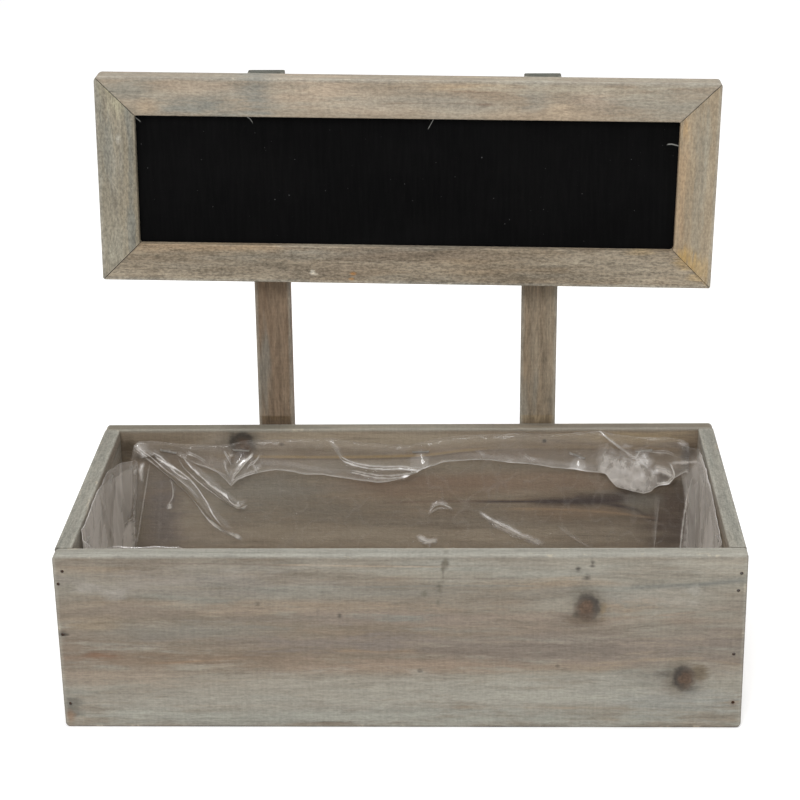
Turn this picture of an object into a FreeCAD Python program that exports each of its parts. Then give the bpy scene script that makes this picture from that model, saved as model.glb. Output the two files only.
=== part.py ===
import FreeCAD, Part
import math
import os

# A wooden planter box with a framed chalkboard held above it on two posts.
# Millimetres and degrees. X runs to the right seen from the front, Y to the back and Z up.
# The origin is the middle of the box's underside.

# Box of boards
box_length = 400.0
box_depth = 200.0
box_height = 113.0
board_thickness = 10.0
arris_round = 1.1
corner_wear = 2.0

# Bottom planks
plank_count = 3
plank_thickness = 9.0
plank_gap = 2.0
plank_clearance = 0.5

# Posts behind the box
post_width = 23.0
post_thickness = 10.0
post_spacing = 172.5
post_shift = -0.8
post_lean = 0.45
post_foot_gap = 3.0
post_round = 0.9

# Framed chalkboard
sign_width = 387.0
sign_height = 131.8
sign_thickness = 15.0
sign_clear_height = 101.8
sign_shift = 1.8
sign_roll = 1.25
rail_width = 24.4
rail_round = 0.9
sign_corner_wear = 2.6
opening_corner = 1.6
mitre_gap = 0.3
panel_recess = 5.0
panel_thickness = 3.0
panel_rabbet = 6.0
panel_clearance = 0.5

# Film liner
film_wall = 0.4
film_clearance = 0.3
film_top_drop = 8.0

# Nails
nail_length = 28.0
nail_shank = 1.4
nail_head = 2.0
nail_head_thickness = 0.7
nail_sink = 0.6
nail_point = 2.0
nail_edge_cover = 1.4

# Liner staples and mitre staples
staple_crown = 11.0
staple_leg = 6.0
mitre_crown = 9.0
mitre_leg = 8.0
staple_wire = 0.7
staple_width = 0.9
staple_bend = 0.9

# Screws
screw_shank = 3.0
screw_head = 5.6
screw_head_height = 1.5
screw_point = 3.0
box_screw_length = 16.0
sign_screw_length = 20.0
cross_length = 2.8
cross_width = 0.6
cross_depth = 1.0

# Points that hold the panel in its rabbet
point_width = 6.0
point_thickness = 0.6
point_reach = 5.0
point_bite = 5.0

# Fits and cuts
hole_spare = 0.05
overrun = 2.0

# Corner wear of the boards and the sign, from none at 0 to the most worn at 1.
# The order is top left, top right, bottom right, bottom left, seen from the front.
front_wear_shares = (1.0, 0.35, 0.9, 0.75)
back_wear_shares = (0.6, 0.8, 0.5, 0.7)
sign_wear_shares = (1.0, 0.35, 0.15, 0.2)
opening_wear_shares = (0.2, 0.2, 1.0, 0.2)

# Nails down each end of the long boards: height as a share of the board's height,
# then place across the side board's thickness as a share of the room there.
front_left_nail_shares = ((0.909, 0.569), (0.837, 0.181), (0.546, 0.208), (0.139, 0.361))
front_right_nail_shares = ((0.895, 0.306), (0.798, 0.5), (0.434, 0.639), (0.151, 0.528))
back_left_nail_shares = ((0.885, 0.42), (0.64, 0.6), (0.37, 0.3), (0.13, 0.5))
back_right_nail_shares = ((0.9, 0.5), (0.61, 0.33), (0.35, 0.68), (0.12, 0.4))
plank_nail_shares = (-0.32, 0.3)

# Liner staples: place along half of the wall's inside length, height as a share of the
# box's height, and the crown's tilt in degrees.
back_staple_shares = (
    (-0.835, 0.867, 12.0),
    (-0.581, 0.873, 4.0),
    (0.044, 0.861, -2.0),
    (0.587, 0.834, 22.0),
    (0.816, 0.863, -7.0),
)
front_staple_shares = (
    (-0.83, 0.86, -5.0),
    (-0.42, 0.87, 3.0),
    (0.02, 0.855, 8.0),
    (0.4, 0.865, -3.0),
    (0.81, 0.86, 6.0),
)
side_staple_shares = ((-0.5, 0.86, 4.0), (0.48, 0.87, -6.0))

# Screws through each post into the back board, as shares of the box's height
box_screw_shares = (0.29, 0.79)

# Points along the rails and stiles, as shares of half the opening
rail_point_shares = (-0.78, 0.0, 0.78)
stile_point_shares = (0.0,)

# Two staples across each mitre, as shares of the solid width behind the rabbet
mitre_staple_shares = (0.34, 0.74)

# Two directions closer than this are parallel
parallel_share = 0.999

axis_x = FreeCAD.Vector(1, 0, 0)
axis_y = FreeCAD.Vector(0, 1, 0)
axis_z = FreeCAD.Vector(0, 0, 1)

half_length = box_length / 2
half_depth = box_depth / 2
inner_half_length = half_length - board_thickness
inner_half_depth = half_depth - board_thickness

solid_rail = rail_width - panel_rabbet
opening_half_width = sign_width / 2 - rail_width
opening_half_height = sign_height / 2 - rail_width
sign_centre = FreeCAD.Vector(
    sign_shift, half_depth, box_height + sign_clear_height + sign_height / 2
)
sign_place = FreeCAD.Placement(sign_centre, FreeCAD.Rotation(axis_y, sign_roll))


def edges_along(shape, axis):
    """The edges of a shape that run parallel to an axis."""
    found = []
    for edge in shape.Edges:
        tangent = edge.tangentAt(edge.FirstParameter)
        if abs(tangent.dot(axis)) > parallel_share:
            found.append(edge)
    return found


def edges_across(shape, axis):
    """The edges of a shape that run square to an axis, straight or curved."""
    found = []
    for edge in shape.Edges:
        start = abs(edge.tangentAt(edge.FirstParameter).dot(axis))
        end = abs(edge.tangentAt(edge.LastParameter).dot(axis))
        if max(start, end) < 1 - parallel_share:
            found.append(edge)
    return found


def rounded_outline(half_width, half_height, radii):
    """A closed wire in the XZ plane, a rectangle about the origin with four corner radii."""
    signs = ((-1, 1), (1, 1), (1, -1), (-1, -1))
    arcs = []
    for (side, rise), radius in zip(signs, radii):
        centre = FreeCAD.Vector(side * (half_width - radius), 0, rise * (half_height - radius))
        flank = centre + axis_x * (side * radius)
        cap = centre + axis_z * (rise * radius)
        middle = centre + FreeCAD.Vector(side, 0, rise) * (radius * math.sqrt(0.5))
        if side * rise < 0:
            arcs.append(Part.Arc(flank, middle, cap))
        else:
            arcs.append(Part.Arc(cap, middle, flank))
    edges = []
    for arc, following in zip(arcs, arcs[1:] + arcs[:1]):
        edges.append(arc.toShape())
        edges.append(Part.makeLine(arc.EndPoint, following.StartPoint))
    return Part.Wire(edges)


def worn_slab(width, height, thickness, edge_round, wear, wear_shares):
    """A slab about the origin, y from 0 to its thickness, with worn corners and arrises."""
    fitted_round = min(edge_round, thickness / 3)
    radii = [fitted_round * 1.1 + wear * share for share in wear_shares]
    outline = rounded_outline(width / 2, height / 2, radii)
    slab = Part.Face(outline).extrude(axis_y * thickness)
    return slab.makeFillet(fitted_round, edges_across(slab, axis_y))


def moved(shape, x, y, z):
    """The shape shifted from the origin."""
    shape.translate(FreeCAD.Vector(x, y, z))
    return shape


def seated(shape, point, outward, along):
    """The shape with its local Z turned outward and its local X turned along the face."""
    turn = FreeCAD.Rotation(along, FreeCAD.Vector(), outward, "ZXY")
    shape.Placement = FreeCAD.Placement(point, turn).multiply(shape.Placement)
    return shape


def cut_all(shape, tools):
    """The shape with every tool cut out of it."""
    return shape.cut(Part.makeCompound(tools))


def save(name, pieces):
    """One node: a single solid, or a group of separate identical ones."""
    shape = pieces[0] if len(pieces) == 1 else Part.makeCompound(pieces)
    shape.exportStep("parts/" + name + ".step")
    print(name, "solids", len(shape.Solids), "volume", round(shape.Volume))


def nail():
    """A flat-headed nail driven along -Z, its head sunk below the face at z = 0."""
    head = Part.makeCylinder(nail_head / 2, nail_head_thickness, -axis_z * nail_sink, -axis_z)
    shank_length = nail_length - nail_sink - nail_point
    shank = Part.makeCylinder(nail_shank / 2, shank_length, -axis_z * nail_sink, -axis_z)
    tip_start = -axis_z * (nail_length - nail_point)
    tip = Part.makeCone(nail_shank / 2, nail_shank / 8, nail_point, tip_start, -axis_z)
    return head.fuse([shank, tip]).removeSplitter()


def nail_hole():
    """The hole that a nail makes, open at the face."""
    head_depth = nail_sink + nail_head_thickness + overrun
    top = axis_z * overrun
    mouth = Part.makeCylinder(nail_head / 2 + hole_spare, head_depth + hole_spare, top, -axis_z)
    length = nail_length + overrun + hole_spare
    bore = Part.makeCylinder(nail_shank / 2 + hole_spare, length, top, -axis_z)
    return mouth.fuse(bore)


def staple(crown, leg):
    """A bent wire staple: the crown lies along X on the face at z = 0, its legs run down -Z."""
    height = leg + staple_wire
    outer = rounded_outline(crown / 2, height, [staple_bend] * 4)
    body = Part.Face(outer).extrude(axis_y * staple_width)
    moved(body, 0, -staple_width / 2, staple_wire - height)
    inside = Part.makeBox(crown - 2 * staple_wire, staple_width + 2 * overrun, 2 * height)
    moved(inside, staple_wire - crown / 2, -staple_width / 2 - overrun, -2 * height)
    lower = Part.makeBox(crown + 2 * overrun, staple_width + 2 * overrun, 2 * height)
    moved(lower, -crown / 2 - overrun, -staple_width / 2 - overrun, -leg - 2 * height)
    return body.cut([inside, lower])


def staple_holes(crown, leg):
    """The two holes that a staple's legs make."""
    side = staple_wire + 2 * hole_spare
    holes = []
    for hand in (-1, 1):
        hole = Part.makeBox(side, staple_width + 2 * hole_spare, leg + overrun + hole_spare)
        middle = hand * (crown - staple_wire) / 2
        holes.append(moved(hole, middle - side / 2, -staple_width / 2 - hole_spare, -leg - hole_spare))
    return Part.makeCompound(holes)


def screw(length):
    """A countersunk wood screw driven along -Z, flush at z = 0, with a cross recess."""
    head = Part.makeCone(
        screw_head / 2, screw_shank / 2, screw_head_height, FreeCAD.Vector(), -axis_z
    )
    shank_length = length - screw_head_height - screw_point
    shank_top = -axis_z * screw_head_height
    shank = Part.makeCylinder(screw_shank / 2, shank_length, shank_top, -axis_z)
    tip_top = -axis_z * (length - screw_point)
    tip = Part.makeCone(screw_shank / 2, screw_shank / 10, screw_point, tip_top, -axis_z)
    slot = Part.makeBox(cross_length, cross_width, 2 * cross_depth)
    moved(slot, -cross_length / 2, -cross_width / 2, -cross_depth)
    cross = Part.makeBox(cross_width, cross_length, 2 * cross_depth)
    moved(cross, -cross_width / 2, -cross_length / 2, -cross_depth)
    return head.fuse([shank, tip]).removeSplitter().cut([slot, cross])


def screw_hole(length):
    """The countersunk hole for a screw, open at the face."""
    slope = (screw_head - screw_shank) / 2 / screw_head_height
    mouth_radius = screw_head / 2 + hole_spare + slope * overrun
    mouth_height = screw_head_height + overrun
    top = axis_z * overrun
    mouth = Part.makeCone(mouth_radius, screw_shank / 2 + hole_spare, mouth_height, top, -axis_z)
    bore_length = length + overrun + hole_spare
    bore = Part.makeCylinder(screw_shank / 2 + hole_spare, bore_length, top, -axis_z)
    return mouth.fuse(bore)


def long_board_nail_places(front):
    """Where nails go through a long board into the end grain of both side boards."""
    face = -half_depth if front else half_depth
    left = front_left_nail_shares if front else back_left_nail_shares
    right = front_right_nail_shares if front else back_right_nail_shares
    room = board_thickness - 2 * nail_edge_cover
    places = []
    for hand, shares in ((-1, left), (1, right)):
        for height_share, across_share in shares:
            inset = nail_edge_cover + across_share * room
            x = hand * (half_length - inset)
            places.append(FreeCAD.Vector(x, face, height_share * box_height))
    return places


def plank_middles():
    """The middle of each bottom plank in Y, and the planks' width."""
    room = 2 * (inner_half_depth - plank_clearance)
    width = (room - (plank_count - 1) * plank_gap) / plank_count
    first = -room / 2 + width / 2
    return [first + index * (width + plank_gap) for index in range(plank_count)], width


def side_nail_places(hand):
    """Where nails go through a side board into the ends of the bottom planks."""
    middles, width = plank_middles()
    places = []
    for middle in middles:
        for share in plank_nail_shares:
            places.append(FreeCAD.Vector(hand * half_length, middle + share * width, plank_thickness / 2))
    return places


def wall_staple_places():
    """Each liner staple's foot on the film, its outward direction and its crown's direction."""
    stand = film_clearance + film_wall
    walls = (
        (-axis_y, axis_x, inner_half_depth, inner_half_length, back_staple_shares),
        (axis_y, axis_x, inner_half_depth, inner_half_length, front_staple_shares),
        (axis_x, axis_y, inner_half_length, inner_half_depth, side_staple_shares),
        (-axis_x, axis_y, inner_half_length, inner_half_depth, side_staple_shares),
    )
    places = []
    for inward, run, distance, reach, shares in walls:
        for along_share, height_share, tilt in shares:
            point = run * (along_share * reach) - inward * (distance - stand)
            point += axis_z * (height_share * box_height)
            crown = FreeCAD.Rotation(axis_y if run.x else -axis_x, tilt).multVec(run)
            places.append((point, inward, crown))
    return places


def post_place(hand):
    """Where a post stands: on the back board's face, at the height of the rim."""
    point = FreeCAD.Vector(post_shift + hand * post_spacing / 2, half_depth, box_height)
    return FreeCAD.Placement(point, FreeCAD.Rotation(axis_y, post_lean))


def crossing_height(hand, offset):
    """Height where a post's middle line crosses a line across the sign, offset from its middle."""
    roll = math.tan(math.radians(sign_roll))
    lean = math.tan(math.radians(post_lean))
    foot = post_place(hand).Base
    level = sign_centre.z + offset / math.cos(math.radians(sign_roll))
    return (level - (foot.x - foot.z * lean - sign_centre.x) * roll) / (1 + lean * roll)


def sign_screw_places():
    """Where screws go through the posts into the solid part of the two rails."""
    lean = math.tan(math.radians(post_lean))
    offset = sign_height / 2 - solid_rail / 2
    places = []
    for hand in (-1, 1):
        foot = post_place(hand).Base
        for rise in (-1, 1):
            z = crossing_height(hand, rise * offset)
            x = foot.x + (z - foot.z) * lean
            places.append(FreeCAD.Vector(x, half_depth + post_thickness, z))
    return places


def box_screw_places():
    """Where screws go through the posts into the back board."""
    places = []
    for hand in (-1, 1):
        for share in box_screw_shares:
            local = FreeCAD.Vector(0, post_thickness, (share - 1) * box_height)
            places.append(post_place(hand).multVec(local))
    return places


def post(hand):
    """A post from just above the ground to the sign's upper edge."""
    low = post_foot_gap - box_height
    high = crossing_height(hand, sign_height / 2) - box_height
    body = Part.makeBox(post_width, post_thickness, high - low)
    moved(body, -post_width / 2, 0, low)
    body = body.makeFillet(min(post_round, post_thickness / 3), body.Edges)
    body.Placement = post_place(hand).multiply(body.Placement)
    return body


def sign_ring():
    """The whole sign frame before the mitres are cut, front at y = -thickness, back at 0."""
    slab = worn_slab(
        sign_width, sign_height, sign_thickness, rail_round, sign_corner_wear, sign_wear_shares
    )
    moved(slab, 0, -sign_thickness, 0)
    radii = [rail_round * 1.1 + opening_corner * share for share in opening_wear_shares]
    outline = rounded_outline(opening_half_width, opening_half_height, radii)
    opening = Part.Face(outline).extrude(axis_y * (sign_thickness + 2 * overrun))
    moved(opening, 0, -sign_thickness - overrun, 0)
    ring = slab.cut(opening)
    mouth = []
    for edge in edges_across(ring, axis_y):
        box = edge.BoundBox
        inside = max(abs(box.XMin), abs(box.XMax)) < opening_half_width + rail_width / 2
        inside = inside and max(abs(box.ZMin), abs(box.ZMax)) < opening_half_height + rail_width / 2
        if inside and box.YMax < -sign_thickness / 2:
            mouth.append(edge)
    ring = ring.makeFillet(min(rail_round, panel_recess / 3), mouth)
    rabbet = Part.makeBox(
        2 * (opening_half_width + panel_rabbet),
        sign_thickness - panel_recess + overrun,
        2 * (opening_half_height + panel_rabbet),
    )
    moved(
        rabbet,
        -opening_half_width - panel_rabbet,
        panel_recess - sign_thickness,
        -opening_half_height - panel_rabbet,
    )
    return ring.cut(rabbet)


def mitred_rails():
    """The four rails of the sign, in its own frame, by name."""
    names = ("sign_top_rail", "sign_right_stile", "sign_bottom_rail", "sign_left_stile")
    outward = (axis_z, axis_x, -axis_z, -axis_x)
    signs = ((-1, 1), (1, 1), (1, -1), (-1, -1))
    outer = []
    inner = []
    for side, rise in signs:
        corner = FreeCAD.Vector(side * sign_width / 2, -sign_thickness - overrun, rise * sign_height / 2)
        diagonal = FreeCAD.Vector(side, 0, rise)
        outer.append(corner + diagonal * overrun)
        inner.append(corner - diagonal * (rail_width + overrun))
    ring = sign_ring()
    rails = {}
    for index, name in enumerate(names):
        following = (index + 1) % len(names)
        corners = [outer[index], outer[following], inner[following], inner[index]]
        wedge = Part.Face(Part.makePolygon(corners + corners[:1]))
        wedge = wedge.extrude(axis_y * (sign_thickness + 2 * overrun))
        wedge.translate(outward[index] * (mitre_gap * math.sqrt(0.5)))
        rails[name] = ring.common(wedge)
    return rails


def panel_point_places():
    """Middle of each point on its rabbet wall in the sign's frame, and its outward direction."""
    wall_x = opening_half_width + panel_rabbet
    wall_z = opening_half_height + panel_rabbet
    back = panel_recess + panel_thickness - sign_thickness
    places = []
    for hand in (-1, 1):
        for share in rail_point_shares:
            point = FreeCAD.Vector(share * opening_half_width, back, hand * wall_z)
            places.append((point, axis_z * hand))
        for share in stile_point_shares:
            point = FreeCAD.Vector(hand * wall_x, back, share * opening_half_height)
            places.append((point, axis_x * hand))
    return places


def panel_point():
    """A flat pointed plate, half in the wood: local X runs into the wall, Z out of the back."""
    half = point_width / 2
    shoulder = point_bite / 2
    corners = [
        FreeCAD.Vector(-point_reach, -half, 0),
        FreeCAD.Vector(shoulder, -half, 0),
        FreeCAD.Vector(point_bite, 0, 0),
        FreeCAD.Vector(shoulder, half, 0),
        FreeCAD.Vector(-point_reach, half, 0),
    ]
    return Part.Face(Part.makePolygon(corners + corners[:1])).extrude(axis_z * point_thickness)


def panel_point_slot():
    """The slit that a point makes in the rabbet wall."""
    slot = Part.makeBox(
        point_bite + overrun + hole_spare,
        point_width + 2 * hole_spare,
        point_thickness + 2 * hole_spare,
    )
    return moved(slot, -overrun, -point_width / 2 - hole_spare, -hole_spare)


def mitre_staple_places():
    """Foot of each mitre staple on the sign's back, and the direction of its crown."""
    places = []
    for side in (-1, 1):
        for rise in (-1, 1):
            for share in mitre_staple_shares:
                inset = share * solid_rail
                x = side * (sign_width / 2 - inset)
                z = rise * (sign_height / 2 - inset)
                crown = FreeCAD.Vector(side, 0, -rise).normalize()
                places.append((FreeCAD.Vector(x, 0, z), crown))
    return places


def in_sign(shape):
    """A shape of the sign's own frame, put where the sign hangs."""
    shape.Placement = sign_place.multiply(shape.Placement)
    return shape


os.makedirs("parts", exist_ok=True)

# Fasteners and the holes that they make
front_places = long_board_nail_places(True)
back_places = long_board_nail_places(False)
side_places = {hand: side_nail_places(hand) for hand in (-1, 1)}
front_nails = [seated(nail(), point, -axis_y, axis_x) for point in front_places]
front_holes = [seated(nail_hole(), point, -axis_y, axis_x) for point in front_places]
back_nails = [seated(nail(), point, axis_y, axis_x) for point in back_places]
back_holes = [seated(nail_hole(), point, axis_y, axis_x) for point in back_places]
bottom_nails = []
bottom_holes = []
for hand, places in side_places.items():
    bottom_nails += [seated(nail(), point, axis_x * hand, axis_y) for point in places]
    bottom_holes += [seated(nail_hole(), point, axis_x * hand, axis_y) for point in places]

liner_staples = []
liner_staple_holes = []
for point, inward, crown in wall_staple_places():
    liner_staples.append(seated(staple(staple_crown, staple_leg), point, inward, crown))
    liner_staple_holes.append(seated(staple_holes(staple_crown, staple_leg), point, inward, crown))

box_screws = []
box_screw_holes = []
for point in box_screw_places():
    box_screws.append(seated(screw(box_screw_length), point, axis_y, axis_x))
    box_screw_holes.append(seated(screw_hole(box_screw_length), point, axis_y, axis_x))
sign_screws = []
sign_screw_holes = []
for point in sign_screw_places():
    sign_screws.append(seated(screw(sign_screw_length), point, axis_y, axis_x))
    sign_screw_holes.append(seated(screw_hole(sign_screw_length), point, axis_y, axis_x))

# Long boards, which cover the ends of the side boards
front_board = worn_slab(
    box_length, box_height, board_thickness, arris_round, corner_wear, front_wear_shares
)
moved(front_board, 0, -half_depth, box_height / 2)
save("front_board", [cut_all(front_board, front_holes + liner_staple_holes)])
back_board = worn_slab(
    box_length, box_height, board_thickness, arris_round, corner_wear, back_wear_shares
)
moved(back_board, 0, inner_half_depth, box_height / 2)
save("back_board", [cut_all(back_board, back_holes + liner_staple_holes + box_screw_holes)])

# Side boards between the long ones
for name, hand in (("left_side_board", -1), ("right_side_board", 1)):
    side = Part.makeBox(board_thickness, 2 * inner_half_depth, box_height)
    moved(side, hand * (half_length - board_thickness / 2) - board_thickness / 2, -inner_half_depth, 0)
    side = side.makeFillet(min(arris_round, board_thickness / 3), edges_along(side, axis_y))
    save(name, [cut_all(side, front_holes + back_holes + bottom_holes + liner_staple_holes)])

# Bottom planks, nailed through the side boards
plank_names = ("bottom_plank_front", "bottom_plank_middle", "bottom_plank_rear")
middles, plank_width = plank_middles()
for name, middle in zip(plank_names, middles):
    plank = Part.makeBox(2 * inner_half_length, plank_width, plank_thickness)
    moved(plank, -inner_half_length, middle - plank_width / 2, 0)
    plank = plank.makeFillet(min(arris_round, plank_thickness / 3), edges_along(plank, axis_x))
    save(name, [cut_all(plank, bottom_holes)])

# Film liner, an open tray against the boards and on the planks
film_half_length = inner_half_length - film_clearance
film_half_depth = inner_half_depth - film_clearance
film_base = plank_thickness + film_clearance
film_height = box_height - film_top_drop - film_base
tray = Part.makeBox(2 * film_half_length, 2 * film_half_depth, film_height)
moved(tray, -film_half_length, -film_half_depth, film_base)
hollow = Part.makeBox(
    2 * (film_half_length - film_wall), 2 * (film_half_depth - film_wall), film_height
)
moved(hollow, film_wall - film_half_length, film_wall - film_half_depth, film_base + film_wall)
save("liner", [cut_all(tray.cut(hollow), liner_staple_holes)])

# Posts
for name, hand in (("left_post", -1), ("right_post", 1)):
    save(name, [cut_all(post(hand), box_screw_holes + sign_screw_holes)])

# Sign: mitred frame, panel and what holds them
points = []
point_slots = []
for point, outward in panel_point_places():
    points.append(in_sign(seated(panel_point(), point, axis_y, outward)))
    point_slots.append(in_sign(seated(panel_point_slot(), point, axis_y, outward)))
mitre_staples = []
mitre_holes = []
for point, crown in mitre_staple_places():
    mitre_staples.append(in_sign(seated(staple(mitre_crown, mitre_leg), point, axis_y, crown)))
    mitre_holes.append(in_sign(seated(staple_holes(mitre_crown, mitre_leg), point, axis_y, crown)))
for name, rail in mitred_rails().items():
    save(name, [cut_all(in_sign(rail), point_slots + mitre_holes + sign_screw_holes)])

panel_half_width = opening_half_width + panel_rabbet - panel_clearance
panel_half_height = opening_half_height + panel_rabbet - panel_clearance
panel = Part.makeBox(2 * panel_half_width, panel_thickness, 2 * panel_half_height)
moved(panel, -panel_half_width, panel_recess - sign_thickness, -panel_half_height)
save("chalkboard_panel", [in_sign(panel)])

# Groups of small fasteners
save("front_nails", front_nails)
save("back_nails", back_nails)
save("bottom_nails", bottom_nails)
save("liner_staples", liner_staples)
save("box_screws", box_screws)
save("sign_screws", sign_screws)
save("panel_points", points)
save("mitre_staples", mitre_staples)
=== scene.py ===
import math

import bmesh
import bpy
import numpy as np
from mathutils import Matrix, Vector, noise


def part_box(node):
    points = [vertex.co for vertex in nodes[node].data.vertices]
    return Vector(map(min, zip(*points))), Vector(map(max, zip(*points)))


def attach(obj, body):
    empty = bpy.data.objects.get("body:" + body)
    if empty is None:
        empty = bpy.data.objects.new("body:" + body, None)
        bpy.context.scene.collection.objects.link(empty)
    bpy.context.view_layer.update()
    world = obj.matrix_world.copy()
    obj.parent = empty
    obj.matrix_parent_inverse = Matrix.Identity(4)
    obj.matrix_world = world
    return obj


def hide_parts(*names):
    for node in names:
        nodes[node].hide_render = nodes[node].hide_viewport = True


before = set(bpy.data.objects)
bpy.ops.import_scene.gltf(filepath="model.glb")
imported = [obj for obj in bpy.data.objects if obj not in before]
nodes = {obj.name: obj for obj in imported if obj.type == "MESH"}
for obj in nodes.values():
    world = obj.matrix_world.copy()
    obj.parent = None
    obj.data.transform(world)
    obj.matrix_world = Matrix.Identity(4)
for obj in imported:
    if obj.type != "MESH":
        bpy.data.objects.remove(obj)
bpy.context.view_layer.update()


# Front board and back board
# Planed pine, 10 mm thick, washed thinly with grey stain and rubbed back. They cover the
# ends of the side boards and are nailed into their end grain.

def feed(tree, socket, value):
    """Links an output to a socket, or sets the socket to a plain value."""
    if isinstance(value, bpy.types.NodeSocket):
        tree.links.new(value, socket)
    else:
        socket.default_value = value


def added(tree, kind, inputs=None, **settings):
    """A shader node with its settings made, its numbers set and its links drawn."""
    node = tree.nodes.new(kind)
    for name, value in settings.items():
        setattr(node, name, value)
    for socket, value in (inputs or {}).items():
        feed(tree, node.inputs[socket], value)
    return node


def number(tree, operation, *values, clamp=False):
    """The result of one Math node."""
    node = added(tree, "ShaderNodeMath", dict(enumerate(values)), operation=operation, use_clamp=clamp)
    return node.outputs[0]


def vector(tree, operation, *values):
    """The result of one Vector Math node: a length or dot product as a number, else a vector."""
    sockets = (0, "Scale") if operation == "SCALE" else (0, 1, 2)
    node = added(tree, "ShaderNodeVectorMath", dict(zip(sockets, values)), operation=operation)
    return node.outputs["Value" if operation in ("LENGTH", "DOT_PRODUCT") else "Vector"]


def ramp(tree, value, low, high, start=0.0, end=1.0):
    """A smooth step: start below low, end above high."""
    node = added(
        tree,
        "ShaderNodeMapRange",
        {"Value": value, "From Min": low, "From Max": high, "To Min": start, "To Max": end},
        interpolation_type="SMOOTHSTEP",
    )
    return node.outputs["Result"]


def blended(tree, share, first, second):
    """Two colours mixed by a share."""
    colours = {0: share, 6: first, 7: second}
    return added(tree, "ShaderNodeMix", colours, data_type="RGBA").outputs[2]


def speckle(tree, place, stretch, seed, detail=3.0, roughness=0.55):
    """Noise about 0.5, with its own stretch along, across and through the board, per metre."""
    stretched = vector(tree, "MULTIPLY_ADD", place, stretch, (seed, seed * 1.7, seed * 0.6))
    node = added(
        tree,
        "ShaderNodeTexNoise",
        {"Vector": stretched, "Scale": 1.0, "Detail": detail, "Roughness": roughness},
    )
    return node.outputs["Fac"]


def summed(tree, *shares):
    """The sum of values, each times its weight."""
    total = number(tree, "MULTIPLY", *shares[0])
    for value, weight in shares[1:]:
        total = number(tree, "MULTIPLY_ADD", value, weight, total)
    return total


def shader_group(name, inputs, outputs):
    """An empty group with named sockets; returns its tree, its inputs and its end node."""
    tree = bpy.data.node_groups.new(name, "ShaderNodeTree")
    kinds = {"vector": "NodeSocketVector", "number": "NodeSocketFloat", "colour": "NodeSocketColor"}
    for socket, kind, value in inputs:
        made = tree.interface.new_socket(name=socket, in_out="INPUT", socket_type=kinds[kind])
        made.default_value = value
    for socket, kind in outputs:
        tree.interface.new_socket(name=socket, in_out="OUTPUT", socket_type=kinds[kind])
    given = tree.nodes.new("NodeGroupInput").outputs
    return tree, given, tree.nodes.new("NodeGroupOutput")


def grouped(tree, group, **inputs):
    """A group placed in a tree, with its sockets set by name, spaces written as underscores."""
    node = tree.nodes.new("ShaderNodeGroup")
    node.node_tree = group
    for name, value in inputs.items():
        feed(tree, node.inputs[name.replace("_", " ")], value)
    return node.outputs


def new_material(name):
    """A material with its tree and its shader."""
    material = bpy.data.materials.new(name)
    material.use_nodes = True
    return material, material.node_tree, material.node_tree.nodes["Principled BSDF"]


def on_the_piece(tree):
    """The place on the piece, in metres."""
    return added(tree, "ShaderNodeTexCoord").outputs["Object"]


def split(tree, place):
    """The three numbers of a place."""
    return added(tree, "ShaderNodeSeparateXYZ", {0: place}).outputs


def emboss(tree, shader, height, strength, distance):
    """Relief too fine for the mesh."""
    bump = added(tree, "ShaderNodeBump", {"Height": height, "Strength": strength, "Distance": distance})
    tree.links.new(bump.outputs[0], shader.inputs["Normal"])


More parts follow.
